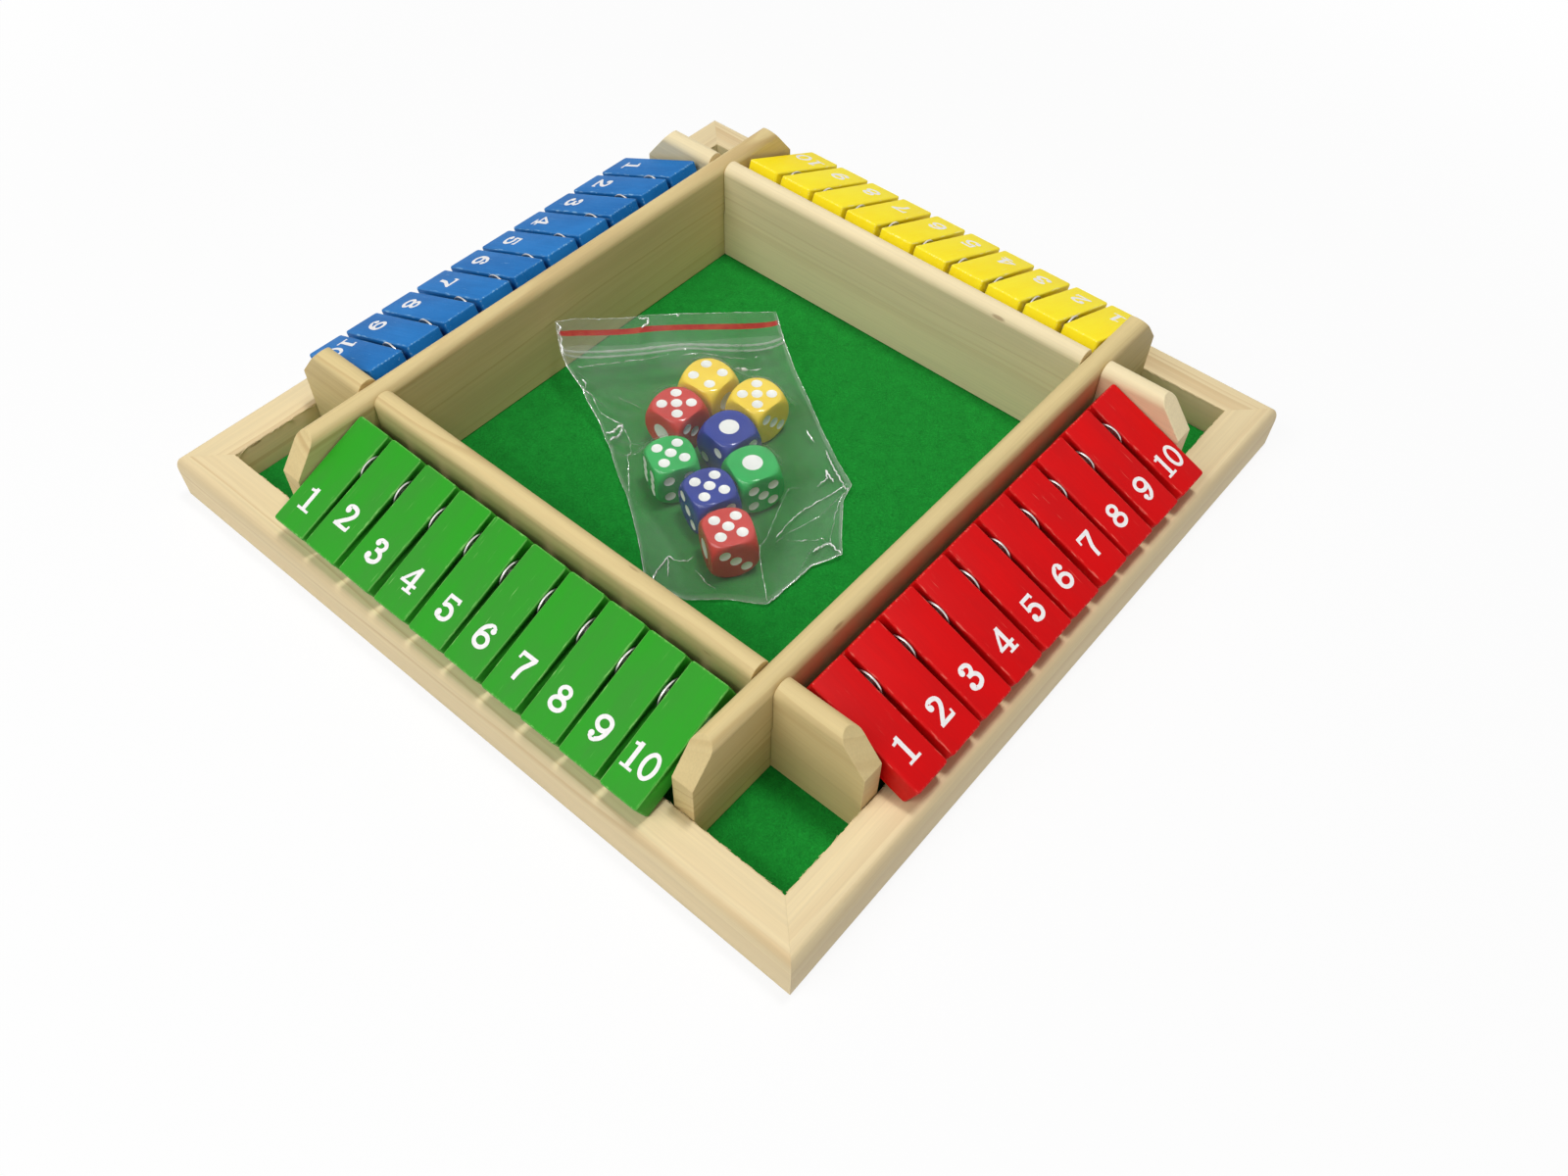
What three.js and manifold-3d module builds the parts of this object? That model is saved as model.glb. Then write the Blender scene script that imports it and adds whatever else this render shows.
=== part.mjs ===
import * as THREE from 'three';
import { mergeVertices } from 'three/addons/utils/BufferGeometryUtils.js';
import Module from 'manifold-3d';

// Four-player shut the box game, in millimetres, +Z up.
// The origin is on the underside of the tray, at its middle.
// The green row of tiles is at -Y, red at +X, yellow at +Y and blue at -X.

// Tray
const pocketWidth = 34;
const railWidth = 15;
const railHeight = 19;
const railRound = 5;
const railArcSteps = 4;
const baseThickness = 4;
const rabbetWidth = 6;
const feltThickness = 1.3;
const seatGap = 0.2;
const fitGap = 0.3;

// Partition boards
const boardThickness = 8;
const boardTop = 48;
const boardCrownSteps = 8;
const endCutFoot = 35;
const endCutRun = 10.6;
const lapGap = 0.15;
const rodHoleDepth = 5;

// Tiles
const tilesPerRow = 10;
const tileWidth = 14.5;
const tileLength = 43.4;
const tileThickness = 10.5;
const tileBevel = 0.5;
const tileCornerCut = 0.9;
const tileRestGap = 0.2;
const tileSwingGap = 1.8;
const rowEndGap = 1.5;

// Pivot rods and washers
const pivotHeight = 36;
const pivotFromInnerEnd = 11.6;
const rodDiameter = 5;
const rodClearance = 0.3;
const rodEndGap = 0.3;
const washerDiameter = 12.4;
const washerThickness = 1.4;
const washerPlay = 0.3;
const turnedSteps = 14;
const holeSteps = 12;

// Dice
const dieSide = 17;
const dieBall = 24.2;
const pipPitch = 7.6;
const pipDiameter = 3.4;
const onePipDiameter = 5.6;
const pipDepth = 0.6;
const pipSteps = 6;
const dieMeridians = 16;
const dieParallels = 12;

// Bag
const filmThickness = 0.4;
const bagMouthLift = 24;
const bagSlit = 1.6;
const bagSeam = 2;
const bagSlack = 0.5;
const bagSkirt = 2.5;
const bagBridgeDrop = 1;

// Cutting tools run past the face they cut by this much.
const overrun = 1;

// A row of tiles and washers sets the arena, the arena sets the boards, and the boards set the tray.
const tilePitch = tileWidth + washerThickness + 2 * washerPlay;
const rowHalfLength = (tilesPerRow * tilePitch - tilePitch + tileWidth) / 2;
const arenaHalf = rowHalfLength + rowEndGap;
const boardRadius = boardThickness / 2;
const boardOffset = arenaHalf + boardRadius;
const boardOuterFace = arenaHalf + boardThickness;
const innerHalf = boardOuterFace + pocketWidth;
const trayHalf = innerHalf + railWidth;

const feltTop = baseThickness + seatGap + feltThickness;
const boardFoot = feltTop + seatGap;
const boardHalfLength = innerHalf - fitGap;
const lapHeight = (boardFoot + boardTop) / 2;
const rodRadius = rodDiameter / 2;
const boreRadius = rodRadius + rodClearance;
const rodHalfLength = arenaHalf + rodHoleDepth - rodEndGap;

// The inner end of a tile swings round its rod just clear of the board.
const tileSwing = Math.hypot(pivotFromInnerEnd, tileThickness / 2);
const pivotOffset = boardOuterFace + tileSwing + tileSwingGap;

const wasm = await Module();
wasm.setup();

// A closed three.js geometry becomes a solid once its shared corners are merged.
function solid(geometry) {
  const bare = geometry.clone();
  bare.deleteAttribute('normal');
  bare.deleteAttribute('uv');
  const merged = mergeVertices(bare);
  const vertProperties = new Float32Array(merged.attributes.position.array);
  const triVerts = new Uint32Array(merged.index.array);
  return new wasm.Manifold(new wasm.Mesh({ numProp: 3, vertProperties, triVerts }));
}

// A solid becomes a flat-shaded three.js geometry.
function geometryOf(body) {
  const mesh = body.getMesh();
  const geometry = new THREE.BufferGeometry();
  const corners = new Float32Array(mesh.vertProperties);
  geometry.setAttribute('position', new THREE.BufferAttribute(corners, mesh.numProp));
  geometry.setIndex(new THREE.BufferAttribute(new Uint32Array(mesh.triVerts), 1));
  geometry.computeVertexNormals();
  return geometry;
}

function finish(color, roughness, metalness = 0) {
  return new THREE.MeshStandardMaterial({ color, roughness, metalness, flatShading: true });
}

function outline(points) {
  return new THREE.Shape(points.map(([x, y]) => new THREE.Vector2(x, y)));
}

function extruded(points, depth) {
  return new THREE.ExtrudeGeometry(outline(points), { depth, bevelEnabled: false });
}

function boxBetween(low, high) {
  const size = high.map((value, axis) => value - low[axis]);
  const box = new THREE.BoxGeometry(...size);
  return box.translate(...low.map((value, axis) => value + size[axis] / 2));
}

const part = new THREE.Group();

function add(parent, name, geometry, material) {
  const mesh = new THREE.Mesh(geometry, material);
  mesh.name = name;
  parent.add(mesh);
  return mesh;
}

// Tray frame: one rail section turned through four sides, which gives a square with mitred corners.
// The section has a rabbet below for the base panel and a rounded outer top edge.
function trayFrame() {
  const rabbetTop = baseThickness + seatGap;
  const section = [
    [innerHalf + rabbetWidth, 0],
    [trayHalf, 0],
  ];
  for (let step = 0; step <= railArcSteps; step += 1) {
    const angle = (step / railArcSteps) * (Math.PI / 2);
    section.push([
      trayHalf - railRound + railRound * Math.cos(angle),
      railHeight - railRound + railRound * Math.sin(angle),
    ]);
  }
  section.push(
    [innerHalf, railHeight],
    [innerHalf, rabbetTop],
    [innerHalf + rabbetWidth, rabbetTop],
    [innerHalf + rabbetWidth, 0],
  );
  const profile = section.map(([across, up]) => new THREE.Vector2(across * Math.SQRT2, up));
  const ring = new THREE.LatheGeometry(profile, 4, Math.PI / 4);
  return geometryOf(solid(ring.rotateX(Math.PI / 2)));
}

function squarePanel(half, low, high) {
  return boxBetween([-half, -half, low], [half, half, high]);
}

// Partition board, lying along X with its middle plane at y = 0.
// Its top is half round, and each end is cut back at a slant above the rail.
function boardBlank() {
  const half = boardHalfLength;
  const face = extruded([
    [-half, boardFoot],
    [half, boardFoot],
    [half, endCutFoot],
    [half - endCutRun, boardTop],
    [endCutRun - half, boardTop],
    [-half, endCutFoot],
  ], boardThickness).translate(0, 0, -boardRadius).rotateX(Math.PI / 2);

  const section = [[-boardRadius, boardFoot], [boardRadius, boardFoot]];
  for (let step = 0; step <= boardCrownSteps; step += 1) {
    const angle = (step / boardCrownSteps) * Math.PI;
    section.push([
      boardRadius * Math.cos(angle),
      boardTop - boardRadius + boardRadius * Math.sin(angle),
    ]);
  }
  const length = 2 * (half + overrun);
  const bar = extruded(section, length).translate(0, 0, -length / 2);
  bar.rotateX(Math.PI / 2).rotateZ(Math.PI / 2);
  return solid(face).intersect(solid(bar));
}

// The two boards of a pair cross the two others at half laps.
// The ends of two rods sit in blind holes in the board's +Y face.
function board(slotFromTop) {
  const slotHalf = boardRadius + lapGap;
  const low = slotFromTop ? lapHeight - lapGap : boardFoot - overrun;
  const high = slotFromTop ? boardTop + overrun : lapHeight + lapGap;
  let body = boardBlank();
  for (const side of [-1, 1]) {
    const slot = boxBetween(
      [side * boardOffset - slotHalf, -boardThickness, low],
      [side * boardOffset + slotHalf, boardThickness, high],
    );
    const depth = rodHoleDepth + overrun;
    const hole = new THREE.CylinderGeometry(boreRadius, boreRadius, depth, holeSteps);
    hole.translate(side * pivotOffset, boardRadius + overrun - depth / 2, pivotHeight);
    body = body.subtract(solid(slot)).subtract(solid(hole));
  }
  return geometryOf(body);
}

// Angle at which a tile slopes down outward, with its outer lower edge just over the rail.
function restSlope() {
  const arm = tileLength - pivotFromInnerEnd - tileBevel;
  const depth = tileThickness / 2;
  const drop = pivotHeight - railHeight - tileRestGap;
  return Math.asin(drop / Math.hypot(arm, depth)) - Math.atan2(depth, arm);
}

// Tile, drilled across for its rod. The rod's axis is the X axis and the tile reaches out along -Y.
function tileGeometry() {
  const inner = pivotFromInnerEnd;
  const outer = pivotFromInnerEnd - tileLength;
  const side = tileWidth / 2;
  const inset = tileBevel;
  const cut = tileCornerCut;
  const x = side - inset;
  const low = outer + inset;
  const high = inner - inset;
  const plan = outline([
    [cut - x, low], [x - cut, low], [x, low + cut], [x, high - cut],
    [x - cut, high], [cut - x, high], [-x, high - cut], [-x, low + cut],
  ]);
  const slab = new THREE.ExtrudeGeometry(plan, {
    depth: tileThickness - 2 * inset,
    bevelThickness: inset,
    bevelSize: inset,
    bevelSegments: 1,
  }).translate(0, 0, inset - tileThickness / 2);
  const boreLength = tileWidth + 2 * overrun;
  const bore = new THREE.CylinderGeometry(boreRadius, boreRadius, boreLength, holeSteps);
  return geometryOf(solid(slab).subtract(solid(bore.rotateZ(Math.PI / 2))));
}

// Rod with its nine washers, turned as one profile about its own axis, which lies along X.
function rodGeometry() {
  const washerRadius = washerDiameter / 2;
  const profile = [[0, -rodHalfLength], [rodRadius, -rodHalfLength]];
  for (let gap = 1; gap < tilesPerRow; gap += 1) {
    const middle = (gap - tilesPerRow / 2) * tilePitch;
    const low = middle - washerThickness / 2;
    const high = middle + washerThickness / 2;
    profile.push([rodRadius, low], [washerRadius, low], [washerRadius, high], [rodRadius, high]);
  }
  profile.push([rodRadius, rodHalfLength], [0, rodHalfLength]);
  const points = profile.map(([radius, along]) => new THREE.Vector2(radius, along));
  const turned = new THREE.LatheGeometry(points, turnedSteps).rotateZ(-Math.PI / 2);
  return geometryOf(solid(turned));
}

// Pips of one face as places on a three by three grid.
const pipShares = {
  1: [[0, 0]],
  2: [[-1, -1], [1, 1]],
  3: [[-1, -1], [0, 0], [1, 1]],
  4: [[-1, -1], [-1, 1], [1, -1], [1, 1]],
  5: [[-1, -1], [-1, 1], [0, 0], [1, -1], [1, 1]],
  6: [[-1, -1], [-1, 0], [-1, 1], [1, -1], [1, 0], [1, 1]],
};

// Turns that bring the +Z face of a die to each of its faces; 1 is up and 3 faces +X.
const faceTurns = {
  1: [0, 0],
  6: [Math.PI, 0],
  2: [Math.PI / 2, 0],
  5: [-Math.PI / 2, 0],
  3: [0, Math.PI / 2],
  4: [0, -Math.PI / 2],
};

// Die: a cube whose corners are rounded by a ball, with cone-shaped pips sunk in its faces.
function dieGeometry() {
  const cube = new THREE.BoxGeometry(dieSide, dieSide, dieSide);
  const ball = new THREE.SphereGeometry(dieBall / 2, dieMeridians, dieParallels);
  let body = solid(cube).intersect(solid(ball));
  for (const [value, [aboutX, aboutY]] of Object.entries(faceTurns)) {
    for (const [across, along] of pipShares[value]) {
      const diameter = value === '1' ? onePipDiameter : pipDiameter;
      const height = pipDepth + overrun;
      const slope = diameter / 2 / pipDepth;
      const cone = new THREE.ConeGeometry(slope * height, height, pipSteps);
      cone.rotateX(-Math.PI / 2).translate(0, 0, dieSide / 2 - pipDepth + height / 2);
      cone.translate((across * pipPitch) / 2, (along * pipPitch) / 2, 0);
      body = body.subtract(solid(cone.rotateX(aboutX).rotateY(aboutY)));
    }
  }
  return geometryOf(body);
}

// The eight dice in their bag: colour, place, turn about Z and the face that is up.
// Places are shares of a die's side.
const dice = [
  { name: 'die_red_a', color: 'red', placeShares: [1.641, -2.306], turn: -31.2, up: 5 },
  { name: 'die_red_b', color: 'red', placeShares: [-1.441, -0.482], turn: 0, up: 5 },
  { name: 'die_blue_a', color: 'blue', placeShares: [0.653, -1.759], turn: -112, up: 5 },
  { name: 'die_blue_b', color: 'blue', placeShares: [-0.147, -0.271], turn: -8, up: 1 },
  { name: 'die_green_a', color: 'green', placeShares: [-0.547, -1.612], turn: 153, up: 5 },
  { name: 'die_green_b', color: 'green', placeShares: [0.882, -0.712], turn: -112, up: 1 },
  { name: 'die_yellow_a', color: 'yellow', placeShares: [-1.547, 0.618], turn: 3.4, up: 4 },
  { name: 'die_yellow_b', color: 'yellow', placeShares: [-0.353, 0.853], turn: -3, up: 5 },
];
const placeOf = (die) => die.placeShares.map((share) => share * dieSide);
const uprightTurns = { 1: [0, 0], 5: [Math.PI / 2, 0], 4: [0, Math.PI / 2] };

const bagFloor = feltTop + seatGap;
const dieFloor = bagFloor + filmThickness + fitGap;

// A closed strip through rows of left and right points, with a given height above them.
function strip(rows, height) {
  const corners = [];
  for (const { left, right } of rows) {
    for (const [x, y, z] of [left, right]) {
      corners.push(x, y, z, x, y, z + height);
    }
  }
  const faces = [];
  const quad = (a, b, c, d) => faces.push(a, b, c, a, c, d);
  for (let row = 0; row + 1 < rows.length; row += 1) {
    const near = row * 4;
    const far = near + 4;
    quad(near + 1, near + 3, far + 3, far + 1);
    quad(near, far, far + 2, near + 2);
    quad(near, near + 1, far + 1, far);
    quad(near + 2, far + 2, far + 3, near + 3);
  }
  const end = (rows.length - 1) * 4;
  quad(0, 2, 3, 1);
  quad(end, end + 1, end + 3, end + 2);
  const geometry = new THREE.BufferGeometry();
  geometry.setAttribute('position', new THREE.Float32BufferAttribute(corners, 3));
  geometry.setIndex(faces);
  return geometry;
}

// A tapered block over one die, square in plan and turned with it.
function tent(die, bottomHalf, topHalf, low, high) {
  const block = new THREE.CylinderGeometry(
    topHalf * Math.SQRT2, bottomHalf * Math.SQRT2, high - low, 4, 1, false, Math.PI / 4,
  );
  block.rotateX(Math.PI / 2).rotateZ((die.turn * Math.PI) / 180);
  return block.translate(...placeOf(die), (low + high) / 2);
}

// Bag edges from its bottom seam to its mouth, left and right.
// Places are shares of the arena's half width, and lifts are shares of the mouth's lift.
const bagEdges = [
  { leftShares: [0.265, -0.795], rightShares: [0.614, -0.56], liftShares: [0, 0] },
  { leftShares: [0.145, -0.765], rightShares: [0.687, -0.169], liftShares: [0, 0] },
  { leftShares: [-0.048, -0.639], rightShares: [0.59, 0], liftShares: [0, 0] },
  { leftShares: [-0.199, -0.524], rightShares: [0.488, 0.145], liftShares: [0, 0] },
  { leftShares: [-0.398, -0.398], rightShares: [0.265, 0.301], liftShares: [0, 0] },
  { leftShares: [-0.542, -0.301], rightShares: [0.024, 0.446], liftShares: [0.04, 0.04] },
  { leftShares: [-0.711, -0.247], rightShares: [-0.133, 0.542], liftShares: [0.33, 0.25] },
  { leftShares: [-0.886, -0.211], rightShares: [-0.229, 0.572], liftShares: [0.75, 0.54] },
  { leftShares: [-0.976, -0.139], rightShares: [-0.331, 0.639], liftShares: [1, 0.71] },
];

// The dice whose centres the film spans between, in order round the heap.
const heapOrder = [0, 5, 7, 6, 1, 4, 2];

// Bag: two films round the dice, sealed on three sides and open by a slit at the mouth.
function bagGeometry() {
  const edgePoint = (shares, liftShare) => [
    ...shares.map((share) => share * arenaHalf),
    bagFloor + liftShare * bagMouthLift,
  ];
  const outerRows = bagEdges.map(({ leftShares, rightShares, liftShares }) => ({
    left: edgePoint(leftShares, liftShares[0]),
    right: edgePoint(rightShares, liftShares[1]),
  }));
  const toward = (from, to, distance) => {
    const a = new THREE.Vector3(...from);
    const b = new THREE.Vector3(...to);
    return a.addScaledVector(b.sub(a).normalize(), distance).toArray();
  };
  const innerRows = outerRows.map(({ left, right }) => ({
    left: toward(left, right, bagSeam),
    right: toward(right, left, bagSeam),
  }));
  const last = innerRows.length - 1;
  for (const side of ['left', 'right']) {
    innerRows[0][side] = toward(innerRows[0][side], innerRows[1][side], bagSeam);
    const lip = toward(innerRows[last][side], innerRows[last - 1][side], -bagSeam);
    innerRows[last][side] = lip;
  }
  for (const row of innerRows) {
    row.left[2] += filmThickness;
    row.right[2] += filmThickness;
  }
  const low = bagFloor + filmThickness;
  const crest = dieFloor + dieSide + fitGap;
  const innerHalfSide = dieSide / 2 + bagSlack;
  const heap = heapOrder.map((index) => placeOf(dice[index]));

  let outer = solid(strip(outerRows, bagSlit + 2 * filmThickness));
  let inner = solid(strip(innerRows, bagSlit));
  const bridge = crest - bagBridgeDrop;
  outer = outer.add(solid(
    extruded(heap, bridge + filmThickness - bagFloor).translate(0, 0, bagFloor),
  ));
  inner = inner.add(solid(extruded(heap, bridge - low).translate(0, 0, low)));
  for (const die of dice) {
    const skirt = innerHalfSide + bagSkirt;
    inner = inner.add(solid(tent(die, skirt, innerHalfSide, low, crest)));
    outer = outer.add(solid(tent(
      die, skirt + filmThickness, innerHalfSide + filmThickness, bagFloor, crest + filmThickness,
    )));
  }
  return geometryOf(outer.subtract(inner));
}

const colors = { green: 0x1f8f24, red: 0xc41a1e, yellow: 0xf2d51c, blue: 0x1f5fa8 };
const diceColors = { green: 0x1fa650, red: 0xc0303a, yellow: 0xe8bf2a, blue: 0x24389c };
const paleWood = finish(0xdcc392, 0.6);

add(part, 'tray_frame', trayFrame(), paleWood);
const basePanelHalf = innerHalf + rabbetWidth - fitGap;
add(part, 'base_panel', squarePanel(basePanelHalf, 0, baseThickness), finish(0xc9ab7c, 0.7));
const feltLow = baseThickness + seatGap;
add(part, 'felt', squarePanel(innerHalf - fitGap, feltLow, feltTop), finish(0x0b7a24, 0.95));

// The left and right boards run whole from front to back; the front and back ones are let down over them.
const crossBoards = [
  { name: 'board_front', slotFromTop: true, turn: 0 },
  { name: 'board_back', slotFromTop: true, turn: Math.PI },
  { name: 'board_right', slotFromTop: false, turn: Math.PI / 2 },
  { name: 'board_left', slotFromTop: false, turn: -Math.PI / 2 },
];
for (const { name, slotFromTop, turn } of crossBoards) {
  const holder = new THREE.Group();
  holder.rotation.z = turn;
  part.add(holder);
  add(holder, name, board(slotFromTop), paleWood).position.y = -boardOffset;
}

const rows = [
  { color: 'green', turn: 0 },
  { color: 'red', turn: Math.PI / 2 },
  { color: 'yellow', turn: Math.PI },
  { color: 'blue', turn: -Math.PI / 2 },
];
const tile = tileGeometry();
const rod = rodGeometry();
for (const { color, turn } of rows) {
  const row = new THREE.Group();
  row.rotation.z = turn;
  part.add(row);
  const pivot = new THREE.Group();
  pivot.position.set(0, -pivotOffset, pivotHeight);
  row.add(pivot);
  add(pivot, `rod_${color}`, rod, finish(0xb9bcc0, 0.3, 1));
  for (let number = 1; number <= tilesPerRow; number += 1) {
    const name = `tile_${color}_${String(number).padStart(2, '0')}`;
    const mesh = add(pivot, name, tile, finish(colors[color], 0.35));
    mesh.position.x = (number - (tilesPerRow + 1) / 2) * tilePitch;
    mesh.rotation.x = restSlope();
  }
}

const die = dieGeometry();
for (const placed of dice) {
  const holder = new THREE.Group();
  holder.position.set(...placeOf(placed), dieFloor + dieSide / 2);
  holder.rotation.z = (placed.turn * Math.PI) / 180;
  part.add(holder);
  const mesh = add(holder, placed.name, die, finish(diceColors[placed.color], 0.15));
  mesh.rotation.set(...uprightTurns[placed.up], 0);
}

add(part, 'dice_bag', bagGeometry(), finish(0xdfe8e2, 0.1));

export default part;
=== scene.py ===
# %% [markdown]
# # A four-player shut the box game
# This notebook dresses the CAD model of a wooden dice game in Blender. The CAD model gives the
# place and the size of every piece. Here each piece gets its finer shape and its finish: pine with
# its grain, felt, enamel paint, zinc, moulded dice and a clear bag.
# Everything is in metres. The green row of tiles is at -Y, red at +X, yellow at +Y and blue at -X.

import math

import bmesh
import bpy
import numpy as np
from mathutils import Matrix, Vector
from mathutils import noise as field


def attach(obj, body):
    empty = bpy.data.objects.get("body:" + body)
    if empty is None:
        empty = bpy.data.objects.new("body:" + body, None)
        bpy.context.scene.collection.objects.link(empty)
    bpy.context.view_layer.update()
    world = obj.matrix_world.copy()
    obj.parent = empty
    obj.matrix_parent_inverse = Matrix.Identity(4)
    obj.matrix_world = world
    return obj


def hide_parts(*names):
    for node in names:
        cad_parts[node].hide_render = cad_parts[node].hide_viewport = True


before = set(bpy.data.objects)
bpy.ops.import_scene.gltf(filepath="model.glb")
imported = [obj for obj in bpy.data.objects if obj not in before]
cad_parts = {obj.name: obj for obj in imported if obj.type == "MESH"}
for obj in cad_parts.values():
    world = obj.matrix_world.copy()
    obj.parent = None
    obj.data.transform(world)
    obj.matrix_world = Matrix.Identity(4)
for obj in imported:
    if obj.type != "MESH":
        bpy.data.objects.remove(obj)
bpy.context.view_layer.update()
MM = 0.001
print("pieces in the CAD model:", len(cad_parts))

# %% [markdown]
# ## Camera
# The photograph looks down on one corner of the tray. The camera was found by matching the tray's
# corners, so the lens, the place and the turn are those of the photograph. The three columns of
# the turn are the camera's right, its up and the way back from the scene.

# %% Set the camera
camera = bpy.data.objects.new("camera", bpy.data.cameras.new("camera"))
camera.data.sensor_width = 36
camera.data.lens = 29.69
camera.data.clip_start = 0.01
right = Vector((0.76401, 0.64479, 0.02304))
up = Vector((-0.52165, 0.59630, 0.61017))
back = Vector((0.37969, -0.47820, 0.79194))
turn = Matrix((right, up, back)).transposed()
camera.matrix_world = Matrix.Translation((0.21547, -0.24452, 0.35085)) @ turn.to_4x4()
bpy.context.scene.collection.objects.link(camera)
bpy.context.scene.camera = camera
bpy.context.scene.view_settings.view_transform = "Standard"
print("camera at", [round(value, 3) for value in camera.location])

# %% [markdown]
# ## Node helper
# Materials are built from nodes. Adding a node takes three steps: make it, set it and join it.
# One short helper does all three: a socket is joined, and any other value is written in. The rest
# of the helper names the nodes that are used most: sums, ranges, mixtures and noise.

# %% Define the node helpers
class Nodes:
    """Short ways to add nodes to a tree."""

    def __init__(self, tree):
        self.tree = tree

    def fill(self, node, sockets):
        for name, value in sockets.items():
            if isinstance(value, bpy.types.NodeSocket):
                self.tree.links.new(value, node.inputs[name])
            else:
                node.inputs[name].default_value = value

    def add(self, kind, sockets=None, **settings):
        node = self.tree.nodes.new("ShaderNode" + kind)
        for name, value in settings.items():
            setattr(node, name, value)
        self.fill(node, sockets or {})
        return node

    def math(self, operation, *values):
        return self.add("Math", dict(enumerate(values)), operation=operation).outputs[0]

    def plus(self, first, second):
        return self.math("ADD", first, second)

    def minus(self, first, second):
        return self.math("SUBTRACT", first, second)

    def times(self, first, second):
        return self.math("MULTIPLY", first, second)

    def most(self, first, second):
        return self.math("MAXIMUM", first, second)

    def vector(self, operation, *values):
        return self.add("VectorMath", dict(enumerate(values)), operation=operation).outputs[0]

    def ranged(self, value, low, high, to_low=0.0, to_high=1.0, smooth=False):
        sockets = {0: value, 1: low, 2: high, 3: to_low, 4: to_high}
        kind = "SMOOTHSTEP" if smooth else "LINEAR"
        return self.add("MapRange", sockets, interpolation_type=kind).outputs[0]

    def mixed(self, factor, first, second, how="MIX"):
        sockets = {0: factor, 6: first, 7: second}
        return self.add("Mix", sockets, data_type="RGBA", blend_type=how).outputs[2]

    def noise(self, place, scale, detail=2.0, roughness=0.5, output="Fac"):
        sockets = {"Vector": place, "Scale": scale, "Detail": detail, "Roughness": roughness}
        return self.add("TexNoise", sockets).outputs[output]

    def bump(self, height, strength, distance):
        sockets = {"Height": height, "Strength": strength, "Distance": distance}
        return self.add("Bump", sockets).outputs[0]

    def own(self):
        """The piece's own coordinates."""
        return self.add("TexCoord").outputs["Object"]

    def moved(self, place, *steps):
        """A place that is moved along its axes, first X and then Y."""
        return self.vector("ADD", place, self.add("CombineXYZ", dict(enumerate(steps))).outputs[0])

    def shader(self, kind, sockets):
        return self.add(kind, sockets).outputs[0]

    def blend(self, share, first, second):
        return self.add("MixShader", {0: share, 1: first, 2: second}).outputs[0]

    def show(self, shader):
        self.add("OutputMaterial", {"Surface": shader})

    def dress(self, sockets):
        """Fills the sockets of the shader that a new material has."""
        self.fill(self.tree.nodes["Principled BSDF"], sockets)


print("node helper:", Nodes.__name__)

# %% [markdown]
# Every finish starts as a new material with a helper for its nodes. Colours are written as screen
# values from 0 to 255, because that is how a picture shows them. Blender mixes light in linear
# values, so a second helper converts each colour first.

# %% Define the material and colour helpers
def new_material(name, bare=False):
    """A material and the helper for its nodes. A bare one starts without a shader."""
    material = bpy.data.materials.new(name)
    material.use_nodes = True
    if bare:
        material.node_tree.nodes.clear()
    return material, Nodes(material.node_tree)


def rgb(*screen):
    """A screen colour, 0 to 255, as the linear colour that Blender works in."""
    linear = [((v / 255 + 0.055) / 1.055) ** 2.4 if v > 10 else v / 3294 for v in screen]
    return (*linear, 1.0)


WHITE = (1, 1, 1, 1)
print("white:", WHITE)

# %% [markdown]
# ## Floor and light
# The game stands on a plain white sweep. The floor is a real diffuse surface, so that it keeps the
# object's shadow. For rays that come from the camera it is lifted towards white, which gives the
# clean background without more light on the wood. Away from the object it is lifted all the way,
# so no horizon shows.
# In the photograph the light falls from a ceiling lamp, so the tiles throw short shadows outward
# on the rails, and more light comes from the left, where the green row is: the faces turned to it
# are much paler than those turned right. So there are three lamps: one overhead, a wide one
# further out on the left, and a narrow one that gives the bag and the dice their sharp glints.

# %% Make the floor and the lamps
FLOOR_REACH, FLOOR_DOWN = 4.0, 0.0002
LIFT_NEAR, LIFT_FAR = (0.24, 0.86), (0.6, 1.0)
SKY_LIGHT, SKY_SEEN = 0.25, 1.0


def seen(n):
    """1 for camera rays, also mirrored or through a clear piece, and 0 for all others."""
    rays = n.add("LightPath").outputs
    straight_or_mirrored = n.most(rays["Is Camera Ray"], rays["Is Glossy Ray"])
    return n.most(straight_or_mirrored, rays["Is Transmission Ray"])


def white_sweep():
    material, n = new_material("white_sweep", bare=True)
    plain = n.shader("BsdfDiffuse", {"Color": (0.86, 0.86, 0.86, 1)})
    glow = n.shader("Emission", {"Color": WHITE, "Strength": 1.0})
    away = n.add("VectorMath", {0: n.own()}, operation="LENGTH").outputs["Value"]
    (near, low), (far, high) = LIFT_NEAR, LIFT_FAR
    lifted = n.ranged(away, near, far, low, high, smooth=True)
    n.show(n.blend(n.times(seen(n), lifted), plain, glow))
    return material


floor_mesh = bpy.data.meshes.new("floor")
square = ((-1, -1), (1, -1), (1, 1), (-1, 1))
floor_points = [(x * FLOOR_REACH, y * FLOOR_REACH, 0) for x, y in square]
floor_mesh.from_pydata(floor_points, [], [(0, 1, 2, 3)])
floor_mesh.materials.append(white_sweep())
floor = bpy.data.objects.new("floor", floor_mesh)
floor.location.z = -FLOOR_DOWN
bpy.context.scene.collection.objects.link(floor)

world = bpy.data.worlds.new("studio")
bpy.context.scene.world = world
world.use_nodes = True
world.node_tree.nodes.clear()
sky = Nodes(world.node_tree)
sky_strength = sky.ranged(seen(sky), 0, 1, SKY_LIGHT, SKY_SEEN)
sky_color = sky.shader("Background", {"Color": WHITE, "Strength": sky_strength})
sky.add("OutputWorld", {"Surface": sky_color})


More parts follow.
